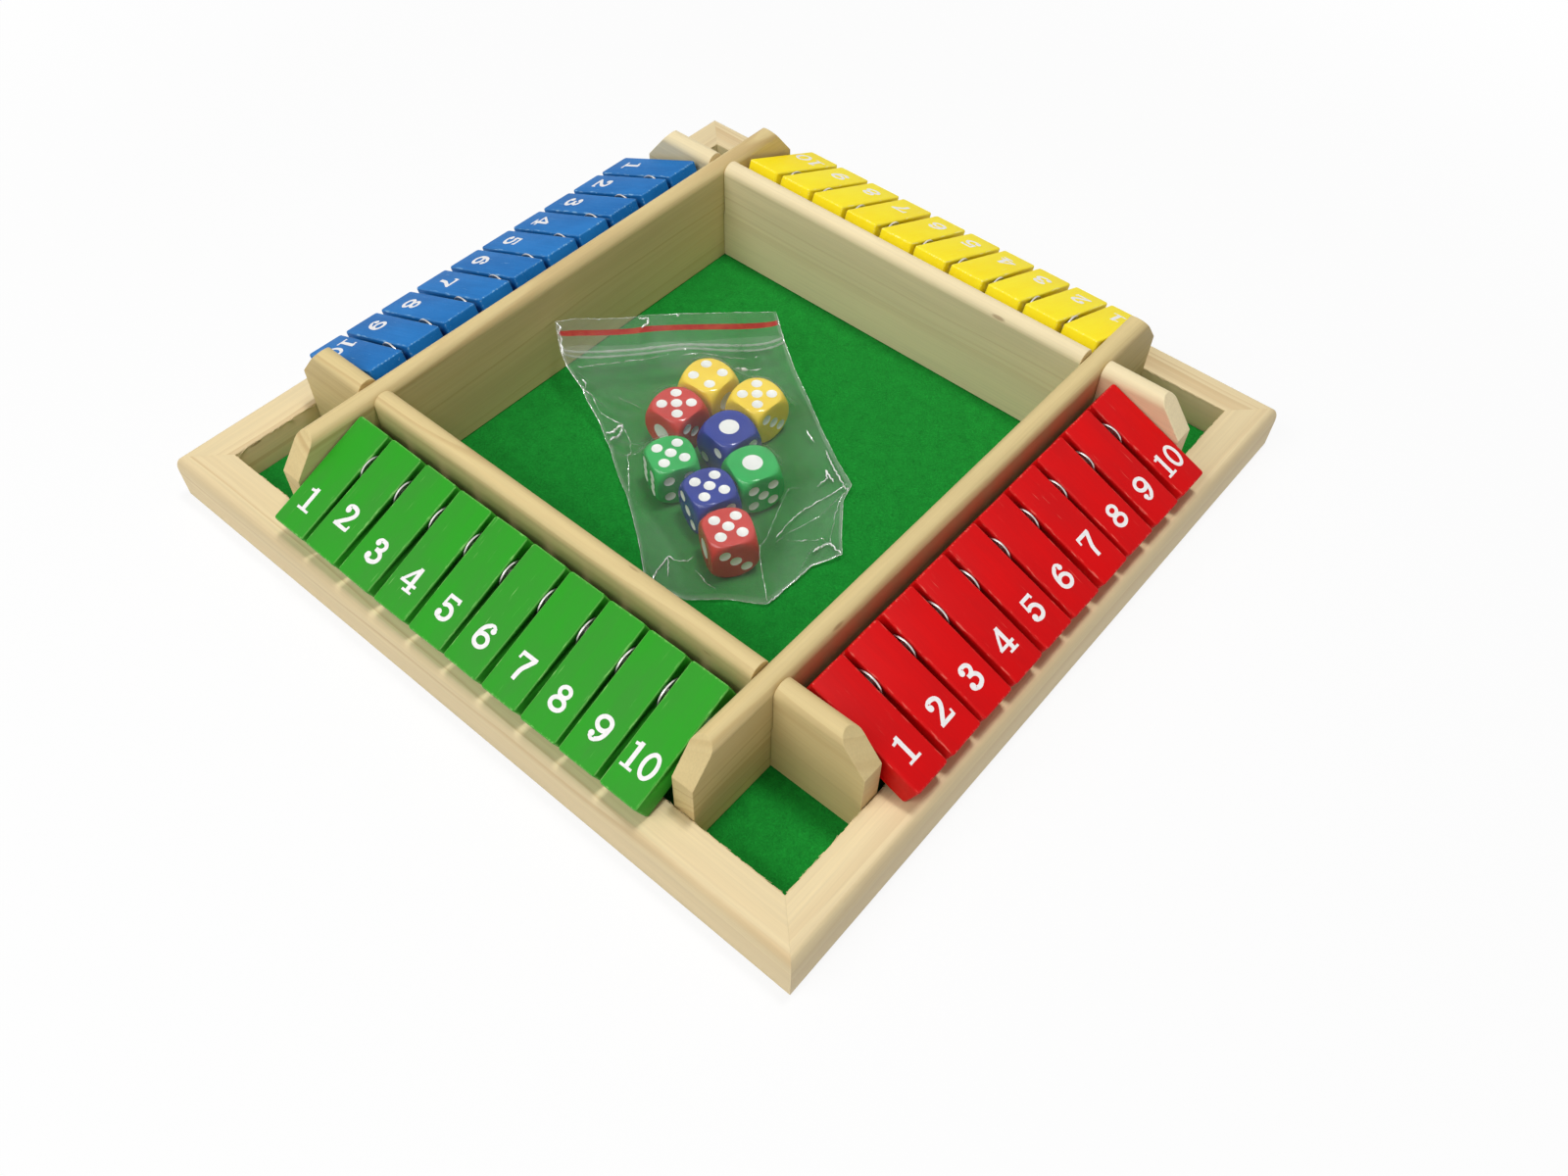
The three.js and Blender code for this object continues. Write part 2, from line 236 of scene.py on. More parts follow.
def soft_lamp(name, place, width, height, watts):
    """A rectangular lamp that is turned to the middle of the tray."""
    light = bpy.data.lights.new(name, "AREA")
    light.shape = "RECTANGLE"
    light.size, light.size_y = width, height
    light.energy = watts
    lamp = bpy.data.objects.new(name, light)
    lamp.location = place
    lamp.rotation_euler = (-Vector(place)).to_track_quat("-Z", "Y").to_euler()
    bpy.context.scene.collection.objects.link(lamp)


soft_lamp("ceiling_lamp", (0.1, 0.16, 1.3), 0.26, 0.2, 8.4)
soft_lamp("left_lamp", (-0.3, -1.0, 1.05), 1.0, 0.8, 8.0)
soft_lamp("tube_lamp", (0.05, -0.85, 1.15), 1.0, 0.04, 2.0)

# %% [markdown]
# ## Pine
# The rails and the boards are pale pine, sanded and left almost bare. A photograph of wood could
# be wrapped round each piece, but then the grain would not run through to the end faces. A solid
# pattern is the better way: growth rings are nested tubes, and every face simply cuts them.
# Each piece is built with its length along its own X axis, so the pattern uses the piece's own
# coordinates. The rings show as long faint lines on the faces and as arcs on the ends. No two
# planks have the same grain. The rails are pale. Three of the boards are darker and yellower,
# which is painted shade, and the back board is the palest, which is painted light: its inner face
# turns to the light from the front.

# %% Define the wood finish
def wood(name, light, dark, ring_width, contrast, roughness=0.6, heart=(0.021, -0.055)):
    material, n = new_material(name)
    own, piece = n.own(), n.add("ObjectInfo").outputs["Random"]
    place = n.moved(own, n.times(piece, 3.7))

    def stretched(along, across):
        return n.vector("MULTIPLY", place, (along, across, across))

    # The rings wander slowly along the length. Most of them are faint and a few are strong.
    wander = n.times(n.minus(n.noise(stretched(6, 26), 1.0), 0.5), 0.014)
    parts = n.add("SeparateXYZ", {0: own}).outputs
    across = n.plus(n.plus(parts[1], n.times(piece, 0.03)), heart[0])
    deep = n.plus(n.plus(parts[2], wander), -heart[1])
    radius = n.math("SQRT", n.plus(n.times(across, across), n.times(deep, deep)))
    along_radius = {"W": n.times(radius, 140.0), "Scale": 1.0}
    uneven = n.add("TexNoise", along_radius, noise_dimensions="1D").outputs["Fac"]
    count = n.plus(n.math("DIVIDE", radius, ring_width), n.times(uneven, 2.6))
    ring = n.math("FRACT", count)
    number = n.plus(n.math("FLOOR", count), n.times(piece, 97.0))
    weight = n.add("TexWhiteNoise", {"W": number}, noise_dimensions="1D").outputs["Value"]
    weight = n.ranged(n.math("POWER", weight, 2.2), 0.0, 1.0, 0.18, 1.0)
    late = n.times(n.ranged(ring, 0.2, 0.9, smooth=True), n.ranged(ring, 1.0, 0.9))
    late = n.times(late, weight)

    fibre = n.noise(stretched(22, 1500), 1.0, 4.0, 0.6)
    cloud = n.noise(stretched(9, 60), 1.0, 3.0)
    depth = n.times(late, n.times(n.ranged(cloud, 0.3, 0.7, 0.35, 1.0), contrast))
    shade = n.plus(n.ranged(fibre, 0.25, 0.75, 0.92, 1.04), n.ranged(cloud, 0.2, 0.8, -0.08, 0.08))
    grey = n.add("CombineColor", {0: shade, 1: shade, 2: shade}).outputs[0]
    color = n.mixed(1.0, n.mixed(depth, light, dark), grey, "MULTIPLY")

    # Short brown flecks, a few to each piece.
    cells = n.add("TexVoronoi", {"Vector": stretched(28, 110), "Scale": 1.0}).outputs
    spot = n.ranged(cells["Distance"], 0.045, 0.10, 1.0, 0.0, smooth=True)
    chosen = n.add("SeparateColor", {0: cells["Color"]}).outputs[0]
    fleck = n.times(n.times(spot, n.ranged(chosen, 0.80, 0.82)), 0.55)
    height = n.plus(n.times(fibre, 0.5), n.times(late, 0.35))
    n.dress({
        "Base Color": n.mixed(fleck, color, rgb(132, 92, 52)),
        "Roughness": n.ranged(fibre, 0.2, 0.8, roughness - 0.07, roughness + 0.09),
        "Normal": n.bump(height, 0.55, 0.00009),
        "Specular IOR Level": 0.4,
    })
    return material


pine = wood("pine", rgb(228, 208, 164), rgb(192, 155, 106), 0.0044, 0.62)
# The darker board finish is painted shade, and the palest board finish is painted light for the
# back board.
board_pine = wood("board_pine", rgb(216, 194, 139), rgb(174, 136, 82), 0.0052, 0.6)
pale_pine = wood("pale_pine", rgb(238, 221, 178), rgb(198, 164, 112), 0.0052, 0.42)
print("finishes:", pine.name, board_pine.name, pale_pine.name)

# %% [markdown]
# ## Rails
# Four rails make the tray. Each is a length of moulding, cut at 45 degrees at both ends. A sweep
# along a path would hide how such a rail is made, so one rail is built as a prism: each corner of
# the section is drawn from one end to the other, and because the ends are mitred, a corner that
# lies further out is longer by as much.
# First come the helpers that this and the later shapes share: points of an arc, moves and turns, a
# mesh object with clean normals, and the prism itself.

# %% Define the shape helpers
def arc(centre, radius, start, stop, steps):
    """Points of an arc, from one angle in degrees to another."""
    angles = [math.radians(start + (stop - start) * step / steps) for step in range(steps + 1)]
    return [(centre[0] + radius * math.cos(a), centre[1] + radius * math.sin(a)) for a in angles]


def move(x, y, z):
    return Matrix.Translation((x, y, z))


def spin(degrees, axis):
    return Matrix.Rotation(math.radians(degrees), 4, axis)


def placed(name, mesh, place=Matrix.Identity(4)):
    """A new piece that shows a mesh at a place."""
    piece = bpy.data.objects.new(name, mesh)
    bpy.context.scene.collection.objects.link(piece)
    piece.matrix_world = place
    return piece


def object_from(name, vertices, faces, material, smooth=30):
    """A mesh object with outward faces, smooth where they meet at less than the given angle."""
    mesh = bpy.data.meshes.new(name)
    mesh.from_pydata([tuple(v) for v in vertices], [], faces)
    work = bmesh.new()
    work.from_mesh(mesh)
    bmesh.ops.recalc_face_normals(work, faces=work.faces)
    for face in work.faces:
        face.smooth = True
    for edge in work.edges:
        edge.smooth = len(edge.link_faces) == 2 and edge.calc_face_angle(3.2) < math.radians(smooth)
    work.to_mesh(mesh)
    work.free()
    mesh.materials.append(material)
    return placed(name, mesh)


def around(count):
    """The side faces between a loop of points and the next loop, which has as many points."""
    return [(i, (i + 1) % count, count + (i + 1) % count, count + i) for i in range(count)]


def prism(name, section, left, right, material, end_faces=None):
    """A section of (y, z) points drawn along X, from left(y, z) to right(y, z)."""
    count = len(section)
    vertices = [(end(y, z), y, z) for end in (left, right) for y, z in section]
    faces = around(count)
    for face in end_faces or [tuple(range(count))]:
        faces += [face, tuple(count + i for i in face)]
    return object_from(name, vertices, faces, material)


print("shape helpers:", arc.__name__, object_from.__name__, prism.__name__)

# %% [markdown]
# The moulding has a round outer top edge and a rabbet below for the base panel. The round is an
# ellipse, deeper than it is wide, and the other edges are just eased. All four rails are the same,
# so they share one mesh and are turned about the middle of the tray.

# %% Build the mitred rails
RAIL_IN, RAIL_OUT, RAIL_TOP = 125 * MM, 140 * MM, 19 * MM
RABBET, RABBET_TOP = 6 * MM, 4.2 * MM
EASE, ROUND_IN, ROUND_DOWN = 0.5 * MM, 3.0 * MM, 6.5 * MM
MITRE_GAP = 0.015 * MM

quarter_round = [
    (-RAIL_OUT + ROUND_IN * (1 + x), RAIL_TOP - ROUND_DOWN * (1 - z))
    for x, z in arc((0, 0), 1, 90, 180, 16)
]
rail_section = [
    (-RAIL_IN - RABBET, 0), (-RAIL_IN - RABBET, RABBET_TOP), (-RAIL_IN, RABBET_TOP),
    *arc((-RAIL_IN - EASE, RAIL_TOP - EASE), EASE, 0, 90, 4), *quarter_round,
    *arc((-RAIL_OUT + EASE, EASE), EASE, 180, 270, 4),
]
front_rail = prism(
    "rail_front", rail_section, lambda y, z: y + MITRE_GAP, lambda y, z: -y - MITRE_GAP, pine
)
rails = [front_rail]
for side, quarter in (("right", 90), ("back", 180), ("left", 270)):
    rails.append(placed(f"rail_{side}", front_rail.data, spin(quarter, "Z")))
for rail in rails:
    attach(rail, "tray")
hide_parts("tray_frame")
print("rails:", len(rails), "outer side", 2 * RAIL_OUT)

# %% [markdown]
# The saw has torn a few fibres from the inner edges of the rails, and they stand out pale against
# the felt. Each is a thin tube along a short path that leaves the edge. A tube needs two
# directions across its path, and both come from cross products with the upright direction.

# %% Tear fibres from the inner edges
FIBRES_A_RAIL, FIBRE_DOWN, FIBRE_IN = 170, 0.3 * MM, 0.08 * MM


def tube(points, radii, sides=6):
    """The points and faces of a thin tube along a path."""
    heading = np.gradient(points, axis=0)
    heading /= np.linalg.norm(heading, axis=1)[:, None]
    side = np.cross(heading, [0.0, 0.0, 1.0])
    side /= np.maximum(np.linalg.norm(side, axis=1), 1e-6)[:, None]
    upward = np.cross(side, heading)
    turns = np.linspace(0, 2 * math.pi, sides + 1)[:-1]
    rings = [
        p + r * (np.outer(np.cos(turns), s) + np.outer(np.sin(turns), u))
        for p, r, s, u in zip(points, radii, side, upward)
    ]
    last = (len(points) - 1) * sides
    faces = [tuple(k + i for i in face) for k in range(0, last, sides) for face in around(sides)]
    faces += [tuple(range(sides)), tuple(range(last, last + sides))]
    return np.concatenate(rings), faces


def bundle(name, tubes, material):
    """Joins many tubes in one object."""
    vertices, faces = [], []
    for points, sides in tubes:
        faces += [tuple(len(vertices) + i for i in face) for face in sides]
        vertices += list(points)
    return object_from(name, vertices, faces, material, 60)


def torn_fibre(maker):
    steps = np.linspace(0, 1, 5)
    start = maker.uniform(-RAIL_IN, RAIL_IN)
    length = maker.uniform(0.8, 3.6) * MM * maker.choice([-1, 1])
    out, down = maker.uniform(0.05, 0.6) * MM, maker.uniform(0, 0.6) * MM
    thick = maker.uniform(0.08, 0.26) * MM
    path = np.column_stack([
        np.clip(start + length * steps, -RAIL_IN + MM, RAIL_IN - MM),
        -RAIL_IN - FIBRE_IN + out * steps**1.5, RAIL_TOP - FIBRE_DOWN - down * steps,
    ])
    return tube(path, thick * (1 - 0.75 * steps))


saw = np.random.default_rng(4)
for rail in rails:
    torn = [torn_fibre(saw) for _ in range(FIBRES_A_RAIL)]
    fibres = bundle(rail.name.replace("rail", "fibres"), torn, pine)
    fibres.matrix_world = rail.matrix_world.copy()
    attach(fibres, "tray")
print("torn fibres:", len(rails), "rails with", FIBRES_A_RAIL, "each")

# %% [markdown]
# ## Base panel
# The base is a thin sheet of plywood that is let into the rabbet. The CAD node has its true shape,
# so it stays, and only gets its finish: the same kind of wood pattern, with wider and browner
# figure.

# %% Finish the base panel
plywood = wood("plywood", rgb(222, 194, 146), rgb(178, 138, 88), 0.0062, 0.9, 0.65, (0.05, -0.012))
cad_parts["base_panel"].data.materials.clear()
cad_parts["base_panel"].data.materials.append(plywood)
print("base panel:", plywood.name)

# %% [markdown]
# ## Felt
# A sheet of green felt is glued to the base, under the boards. Felt is pressed from loose fibres,
# so it has no weave: what shows is a soft blotchy nap and a slightly frayed edge. The sheet is a
# fine grid that rises and falls by a few hundredths of a millimetre. The finish adds the nap, from
# a broad and a fine noise, and a sheen, which is the light that stray fibres catch.

# %% Lay the felt
FELT_HALF, FELT_LOW, FELT_TOP = 124.6 * MM, 4.25 * MM, 5.5 * MM
FELT_CELLS, FELT_WAVE, FELT_FRAY = 124, 0.05 * MM, 0.12 * MM


def felt_finish():
    material, n = new_material("green_felt")
    own = n.own()
    warp = n.noise(own, 420.0, output="Color")
    bent = n.vector("MULTIPLY_ADD", warp, (0.0035, 0.0035, 0.0035), own)
    fibre = n.noise(bent, 1500.0, 4.0, 0.7)
    blotch = n.noise(own, 190.0, 5.0, 0.7)
    tone = n.plus(n.times(blotch, 0.28), n.times(fibre, 0.72))
    color = n.mixed(n.ranged(tone, 0.36, 0.66), rgb(6, 104, 30), rgb(26, 154, 52))
    broad = n.ranged(n.noise(own, 22.0), 0.3, 0.7, 0.0, 0.22)
    n.dress({
        "Base Color": n.mixed(broad, color, rgb(12, 120, 36)),
        "Roughness": 0.95, "Specular IOR Level": 0.15,
        "Sheen Weight": 0.08, "Sheen Roughness": 0.6, "Sheen Tint": rgb(150, 220, 150),
        "Normal": n.bump(tone, 0.9, 0.00035),
    })
    return material


felt_color = felt_finish()
felt_points, felt_faces = [], []
for row in range(FELT_CELLS + 1):
    for column in range(FELT_CELLS + 1):
        x, y = (FELT_HALF * (2 * i / FELT_CELLS - 1) for i in (column, row))
        lift = FELT_WAVE * field.noise(Vector((x, y, 0)) * 90)
        frayed = FELT_FRAY * field.noise(Vector((x, y, 3 * MM)) * 700)
        edge_x, edge_y = (1 if i in (0, FELT_CELLS) else 0 for i in (column, row))
        felt_points.append((x + edge_x * frayed, y + edge_y * frayed, FELT_TOP - FELT_WAVE + lift))
        if row < FELT_CELLS and column < FELT_CELLS:
            corner = row * (FELT_CELLS + 1) + column
            above = corner + FELT_CELLS + 1
            felt_faces.append((corner, corner + 1, above + 1, above))
felt = object_from("felt_sheet", felt_points, felt_faces, felt_color)
thick = felt.modifiers.new("thickness", "SOLIDIFY")
thick.thickness, thick.offset = FELT_TOP - FELT_LOW, -1
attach(felt, "tray")
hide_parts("felt")
print("felt:", len(felt_points), "points")

# %% [markdown]
# ## Partition boards
# Four boards cross each other. The slots of the front and back boards are open at the top. Those
# of the left and right boards are open below, so these are let down into the others and run
# through at the top. Blind holes take the ends of the rods. The slots and holes are cut with a
# boolean, because that is what a saw and a drill do, and a narrow bevel takes the sharpness off
# every edge.
# First come the helpers for it: a box and a turned shape as cutters, the cut, and the bevel.

# %% Define the cutting helpers
def box(name, low, high):
    """A closed box, used only as a cutter."""
    ends = list(zip(low, high))
    corners = [(x, y, z) for x in ends[0] for y in ends[1] for z in ends[2]]
    sides = [(0, 1, 3, 2), (4, 6, 7, 5), (0, 4, 5, 1), (2, 3, 7, 6), (0, 2, 6, 4), (1, 5, 7, 3)]
    return object_from(name, corners, sides, pine)


def turned(name, profile, material, steps=48):
    """A profile of (radius, along) points turned about X. A radius of zero closes an end."""
    vertices, faces, rings = [], [], []
    for radius, along in profile:
        ring = []
        for step in range(steps if radius > 0 else 1):
            angle = 2 * math.pi * step / steps
            ring.append(len(vertices))
            vertices.append((along, radius * math.cos(angle), radius * math.sin(angle)))
        rings.append(ring)
    for near, far in zip(rings, rings[1:]):
        for step in range(steps):
            corners = [near[step % len(near)], near[(step + 1) % len(near)]]
            corners += [far[(step + 1) % len(far)], far[step % len(far)]]
            faces.append(tuple(dict.fromkeys(corners)))
    return object_from(name, vertices, faces, material)


def applied(piece):
    """Replaces a piece's mesh by the one that its modifiers make."""
    bpy.context.view_layer.update()
    shown = piece.evaluated_get(bpy.context.evaluated_depsgraph_get())
    finished = bpy.data.meshes.new_from_object(shown)
    piece.modifiers.clear()
    piece.data = finished
    return piece


def cut(piece, cutters, operation="DIFFERENCE"):
    """Cuts the cutters out of a piece, or joins them to it, and removes them."""
    for cutter in cutters:
        work = piece.modifiers.new("cut", "BOOLEAN")
        work.operation, work.solver, work.object = operation, "EXACT", cutter
    applied(piece)
    for cutter in cutters:
        bpy.data.objects.remove(cutter)
    return piece


def eased(piece, width):
    """Takes the sharpness off the edges, and keeps flat faces flat."""
    bevel = piece.modifiers.new("ease", "BEVEL")
    bevel.width, bevel.segments, bevel.limit_method = width, 2, "ANGLE"
    bevel.angle_limit = math.radians(35)
    bevel.harden_normals = True
    return applied(piece)


print("cutting helpers:", turned.__name__, cut.__name__, eased.__name__)

# %% [markdown]
# A board is 8 mm thick, with a half-round crown, and its ends are cut back at a slant above the
# rails. It is a prism again: a point of the section above the slant simply ends sooner, and each
# end has two flat faces, an upright one and the slanted one. Every slot goes a little past half
# the height, so that the boards rest on the felt and not on each other.

# %% Build the crossed boards
BOARD_FOOT, BOARD_TOP, BOARD_HALF = 5.7 * MM, 48 * MM, 124.7 * MM
BOARD_AT, BOARD_RADIUS, BOARD_EASE = 87 * MM, 4 * MM, 0.28 * MM
SLANT_FOOT, SLANT_RUN = 35 * MM, 10.6 * MM
LAP, LAP_GAP, LAP_OVER = 26.85 * MM, 0.15 * MM, 60 * MM
PIVOT_AT, PIVOT_TOP = 105.533 * MM, 36 * MM
BORE, BORE_DEEP = 2.8 * MM, 5 * MM


def board_end(y, z):
    return BOARD_HALF - SLANT_RUN * max(0, z - SLANT_FOOT) / (BOARD_TOP - SLANT_FOOT)


def other_end(y, z):
    return -board_end(y, z)


def make_board(name, slot_from_top, finish):
    section = [(-BOARD_RADIUS, SLANT_FOOT), (-BOARD_RADIUS, BOARD_FOOT)]
    section += [(BOARD_RADIUS, BOARD_FOOT), (BOARD_RADIUS, SLANT_FOOT)]
    section += arc((0, BOARD_TOP - BOARD_RADIUS), BOARD_RADIUS, 0, 180, 20)
    end_faces = [(0, 1, 2, 3), (0, *range(3, len(section)))]
    blank = prism(name, section, other_end, board_end, finish, end_faces)
    low = LAP - LAP_GAP if slot_from_top else 0
    high = LAP_OVER if slot_from_top else LAP + LAP_GAP
    slot_half = BOARD_RADIUS + LAP_GAP
    cutters = []
    for side in (-1, 1):
        near, far = side * BOARD_AT - slot_half, side * BOARD_AT + slot_half
        cutters.append(box("slot", (near, -0.01, low), (far, 0.01, high)))
        bit = [(0, 0), (BORE, 0), (BORE, 2 * BORE_DEEP), (0, 2 * BORE_DEEP)]
        drill = turned("drill", bit, pine, 32)
        hole = move(side * PIVOT_AT, BOARD_RADIUS - BORE_DEEP, PIVOT_TOP)
        drill.matrix_world = hole @ spin(90, "Z")
        cutters.append(drill)
    return eased(cut(blank, cutters), BOARD_EASE)


# The back board takes the finish with painted light, and the other three take the one with painted
# shade.
for name, slot_from_top, quarter, finish in (
    ("front", True, 0, board_pine), ("back", True, 180, pale_pine),
    ("right", False, 90, board_pine), ("left", False, -90, board_pine),
):
    board = make_board(f"partition_{name}", slot_from_top, finish)
    board.matrix_world = spin(quarter, "Z") @ move(0, -BOARD_AT, 0)
    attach(board, "tray")
    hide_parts(f"board_{name}")
    print(board.name, len(board.data.polygons), "faces")

# %% [markdown]
# ## Enamel paint
# The tiles are painted wood. The paint is an even colour, but not a flat one: it is a little
# duller or brighter in patches, the wood's fibres print through it in fine lines along the tile,
# and it has small pale chips, nearly all of them on the edges, where tiles knock together. A thin
# pale line also runs along every edge. It is partly rubbed paint and partly painted highlight,
# where the edge catches the light.
# Chips need the distance to the nearest edge. A tile is a box round its own middle, so how far a
# point lies inside each pair of sides is easy to work out. On a face the smallest of the three
# distances is zero, and the middle one is the distance to the nearest edge.

# %% Define the enamel finish
TILE = Vector((14.5, 43.4, 10.5)) * MM


def enamel(name, color, dull, chip_and_edge_light, rub):
    material, n = new_material(name)
    own, piece = n.own(), n.add("ObjectInfo").outputs["Random"]
    place = n.moved(own, n.times(piece, 5.3), piece)
    inside = n.vector("SUBTRACT", TILE / 2, n.vector("ABSOLUTE", own))
    gaps = n.add("SeparateXYZ", {0: inside}).outputs
    least = n.math("MINIMUM", gaps[0], n.math("MINIMUM", gaps[1], gaps[2]))
    greatest = n.most(gaps[0], n.most(gaps[1], gaps[2]))
    total = n.plus(gaps[0], n.plus(gaps[1], gaps[2]))
    from_edge = n.minus(n.minus(total, least), greatest)

    def spread(across, along, detail):
        return n.noise(n.vector("MULTIPLY", place, (across, along, across)), 1.0, detail)

    fibre, patch, grit = spread(1100, 45, 3.0), spread(90, 40, 3.0), spread(2600, 1100, 2.0)
    shade = n.plus(n.times(patch, 0.75), n.times(fibre, 0.25))
    tone = n.mixed(n.ranged(shade, 0.35, 0.65), color, dull)

    near = n.ranged(from_edge, 0.15 * MM, 0.85 * MM, 1.0, 0.0, smooth=True)
    chips = n.times(near, n.ranged(spread(1500, 260, 4.0), 0.54, 0.64))
    streak = n.ranged(spread(1900, 90, 3.0), 0.66, 0.74)
    streak = n.times(streak, n.ranged(patch, 0.48, 0.6, 0.0, 0.6))
    # A thin pale line along every edge: partly rubbed paint, partly painted highlight where the
    # edge catches the light. rub sets how strong it is.
    rubbed_and_lit_edge = n.ranged(from_edge, 0.1 * MM, 0.55 * MM, rub, 0.0, smooth=True)
    wear_and_edge_light = n.most(n.most(n.times(chips, 0.75), rubbed_and_lit_edge), streak)
    height = n.plus(n.times(fibre, 0.5), n.times(grit, 0.3))
    height = n.minus(height, n.times(wear_and_edge_light, 0.5))
    n.dress({
        "Base Color": n.mixed(wear_and_edge_light, tone, chip_and_edge_light),
        "Roughness": n.ranged(n.plus(grit, wear_and_edge_light), 0.3, 1.4, 0.46, 0.72),
        "Normal": n.bump(height, 0.5, 0.00008),
        "Specular IOR Level": 0.11,
    })
    return material


# The last value of each paint is how strong the pale edge line is: partly wear, partly painted
# highlight. The pale chip colour serves both chips and this line.
paints = {
    color: enamel(f"{color}_enamel", rgb(*main), rgb(*dull), rgb(*chip_and_edge_light), rub)
    for color, main, dull, chip_and_edge_light, rub in (
        ("green", (44, 156, 34), (54, 146, 44), (150, 215, 120), 0.4),
        ("red", (214, 8, 12), (200, 12, 16), (230, 112, 98), 0.08),
        ("yellow", (255, 237, 38), (253, 228, 24), (255, 246, 170), 0.1),
        ("blue", (32, 118, 190), (18, 102, 172), (150, 196, 224), 0.15),
    )
}
print("paints:", list(paints))

# %% [markdown]
# ## Tiles
# A tile is a slab with corners rounded in plan and a soft edge above and below. It is built as a
# stack of outlines: the outline shrinks a little at the top and the bottom, along a quarter
# circle, which is what sanding does. Then it is drilled across for the rod.

# %% Build one tile
PIVOT_FROM_MIDDLE = TILE.y / 2 - 11.6 * MM
TILE_CORNER, TILE_EASE, DRILL_HALF = 1.1 * MM, 0.6 * MM, 9 * MM


def rounded_outline(half_x, half_y, radius):
    points = []
    for side_x, side_y, start in ((1, 1, 0), (-1, 1, 90), (-1, -1, 180), (1, -1, 270)):
        centre = (side_x * (half_x - radius), side_y * (half_y - radius))
        points += arc(centre, radius, start, start + 90, 4)
    return points


def slab(name, half, corner, ease, material, steps=3):
    bends = [math.pi / 2 * step / steps for step in range(steps + 1)]
    upper = [(ease * (1 - math.sin(b)), half.z - ease * (1 - math.cos(b))) for b in bends]
    levels = upper + [(inset, -z) for inset, z in reversed(upper)]
    vertices, faces = [], []
    for inset, z in levels:
        outline = rounded_outline(half.x - inset, half.y - inset, corner - inset)
        vertices += [(x, y, z) for x, y in outline]
    count = len(outline)
    for start in range(0, len(vertices) - count, count):
        faces += [tuple(start + i for i in face) for face in around(count)]
    faces += [tuple(range(count)), tuple(range(len(vertices) - count, len(vertices)))]
    return object_from(name, vertices, faces, material, 50)


blank_tile = slab("tile_blank", TILE / 2, TILE_CORNER, TILE_EASE, paints["green"])
bit = [(0, -DRILL_HALF), (BORE, -DRILL_HALF), (BORE, DRILL_HALF), (0, DRILL_HALF)]
drill = turned("drill", bit, paints["green"], 32)
drill.location.y = PIVOT_FROM_MIDDLE
tile_mesh = cut(blank_tile, [drill]).data
bpy.data.objects.remove(blank_tile)
print("tile:", len(tile_mesh.polygons), "faces")

# %% [markdown]
# All ten tiles of a colour share one mesh. At rest a tile hangs down from its rod and its outer
# end lies on the rail. It hangs loosely, so each one is turned by a fraction of a degree, and each
# piece's random number keeps their paint from looking alike. Each row has slid a little along its
# rod, and a few tiles further than their row.

# %% Place the tiles
# The lower edge of a tile's outer end, in mm: out from the rod, under the tile's middle, and how
# much lower than the rod it lies at rest.
REST_OUT, REST_HALF, REST_DROP = 31.3, 5.25, 16.8
REST_SLOPE = math.asin(REST_DROP / math.hypot(REST_OUT, REST_HALF))
REST_SLOPE -= math.atan2(REST_HALF, REST_OUT)
PITCH, ROW_MIDDLE = 16.5 * MM, 5.5
LOOSE_SLIDE, LOOSE_SKEW, LOOSE_AT_ENDS = 0.25, 0.9, 0.35
# For each row: its quarter turn, and how far it has slid along its rod, in mm.
ROWS = {"green": (0, -1.1), "red": (90, 0.2), "yellow": (180, -0.3), "blue": (-90, 0.4)}
DRIFT = {("green", 2): -0.4, ("red", 8): 0.3, ("red", 9): 0.6, ("red", 10): 0.9}
chance = np.random.default_rng(10)
tiles = {}


def slid_by(color, number):
    """How far a tile has slid along its rod, in mm: with its row, and a few tiles further."""
    return ROWS[color][1] + DRIFT.get((color, number), 0)


for color, (quarter, _) in ROWS.items():
    mesh = tile_mesh.copy()
    mesh.name = f"tile_{color}"
    mesh.materials.clear()
    mesh.materials.append(paints[color])
    for number in range(1, 11):
        node = f"tile_{color}_{number:02d}"
        loose = LOOSE_AT_ENDS if number in (1, 10) else 1.0
        slid = slid_by(color, number) + loose * chance.uniform(-LOOSE_SLIDE, LOOSE_SLIDE)
        along = (number - ROW_MIDDLE) * PITCH + slid * MM
        skew = loose * chance.uniform(-LOOSE_SKEW, LOOSE_SKEW)
        place = spin(quarter, "Z") @ move(along, -PIVOT_AT, PIVOT_TOP)
        place = place @ Matrix.Rotation(REST_SLOPE, 4, "X") @ spin(skew, "Z")
        place = place @ move(0, -PIVOT_FROM_MIDDLE, 0)
        tile = placed(f"painted_{color}_{number:02d}", mesh, place)
        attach(tile, node)
        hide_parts(node)
        tiles[color, number] = tile
print("tiles:", len(tiles), "resting", round(math.degrees(REST_SLOPE), 1), "degrees down")

# %% [markdown]
# ## Numerals
# The numbers 1 to 10 are printed in white in a bold slab-serif style. A text object would need a
# font file. Instead each digit is drawn as a signwriter would: a few brush strokes of a given
# width, round dots where a stroke ends in a ball, and short flat strokes for the feet. Each stroke
# becomes a thin plate, and a boolean union melts the plates of a digit into one.

# %% Define the brush strokes
BRUSH = 0.8


def curve(a, b, c, d):
    """Six points of a smooth line from b to c, which comes from a and goes on to d."""
    for t in np.linspace(0, 1, 7)[:6]:
        bent = 2 * b + (c - a) * t + (2 * a - 5 * b + 4 * c - d) * t**2
        yield 0.5 * (bent + (3 * b - a - 3 * c + d) * t**3)


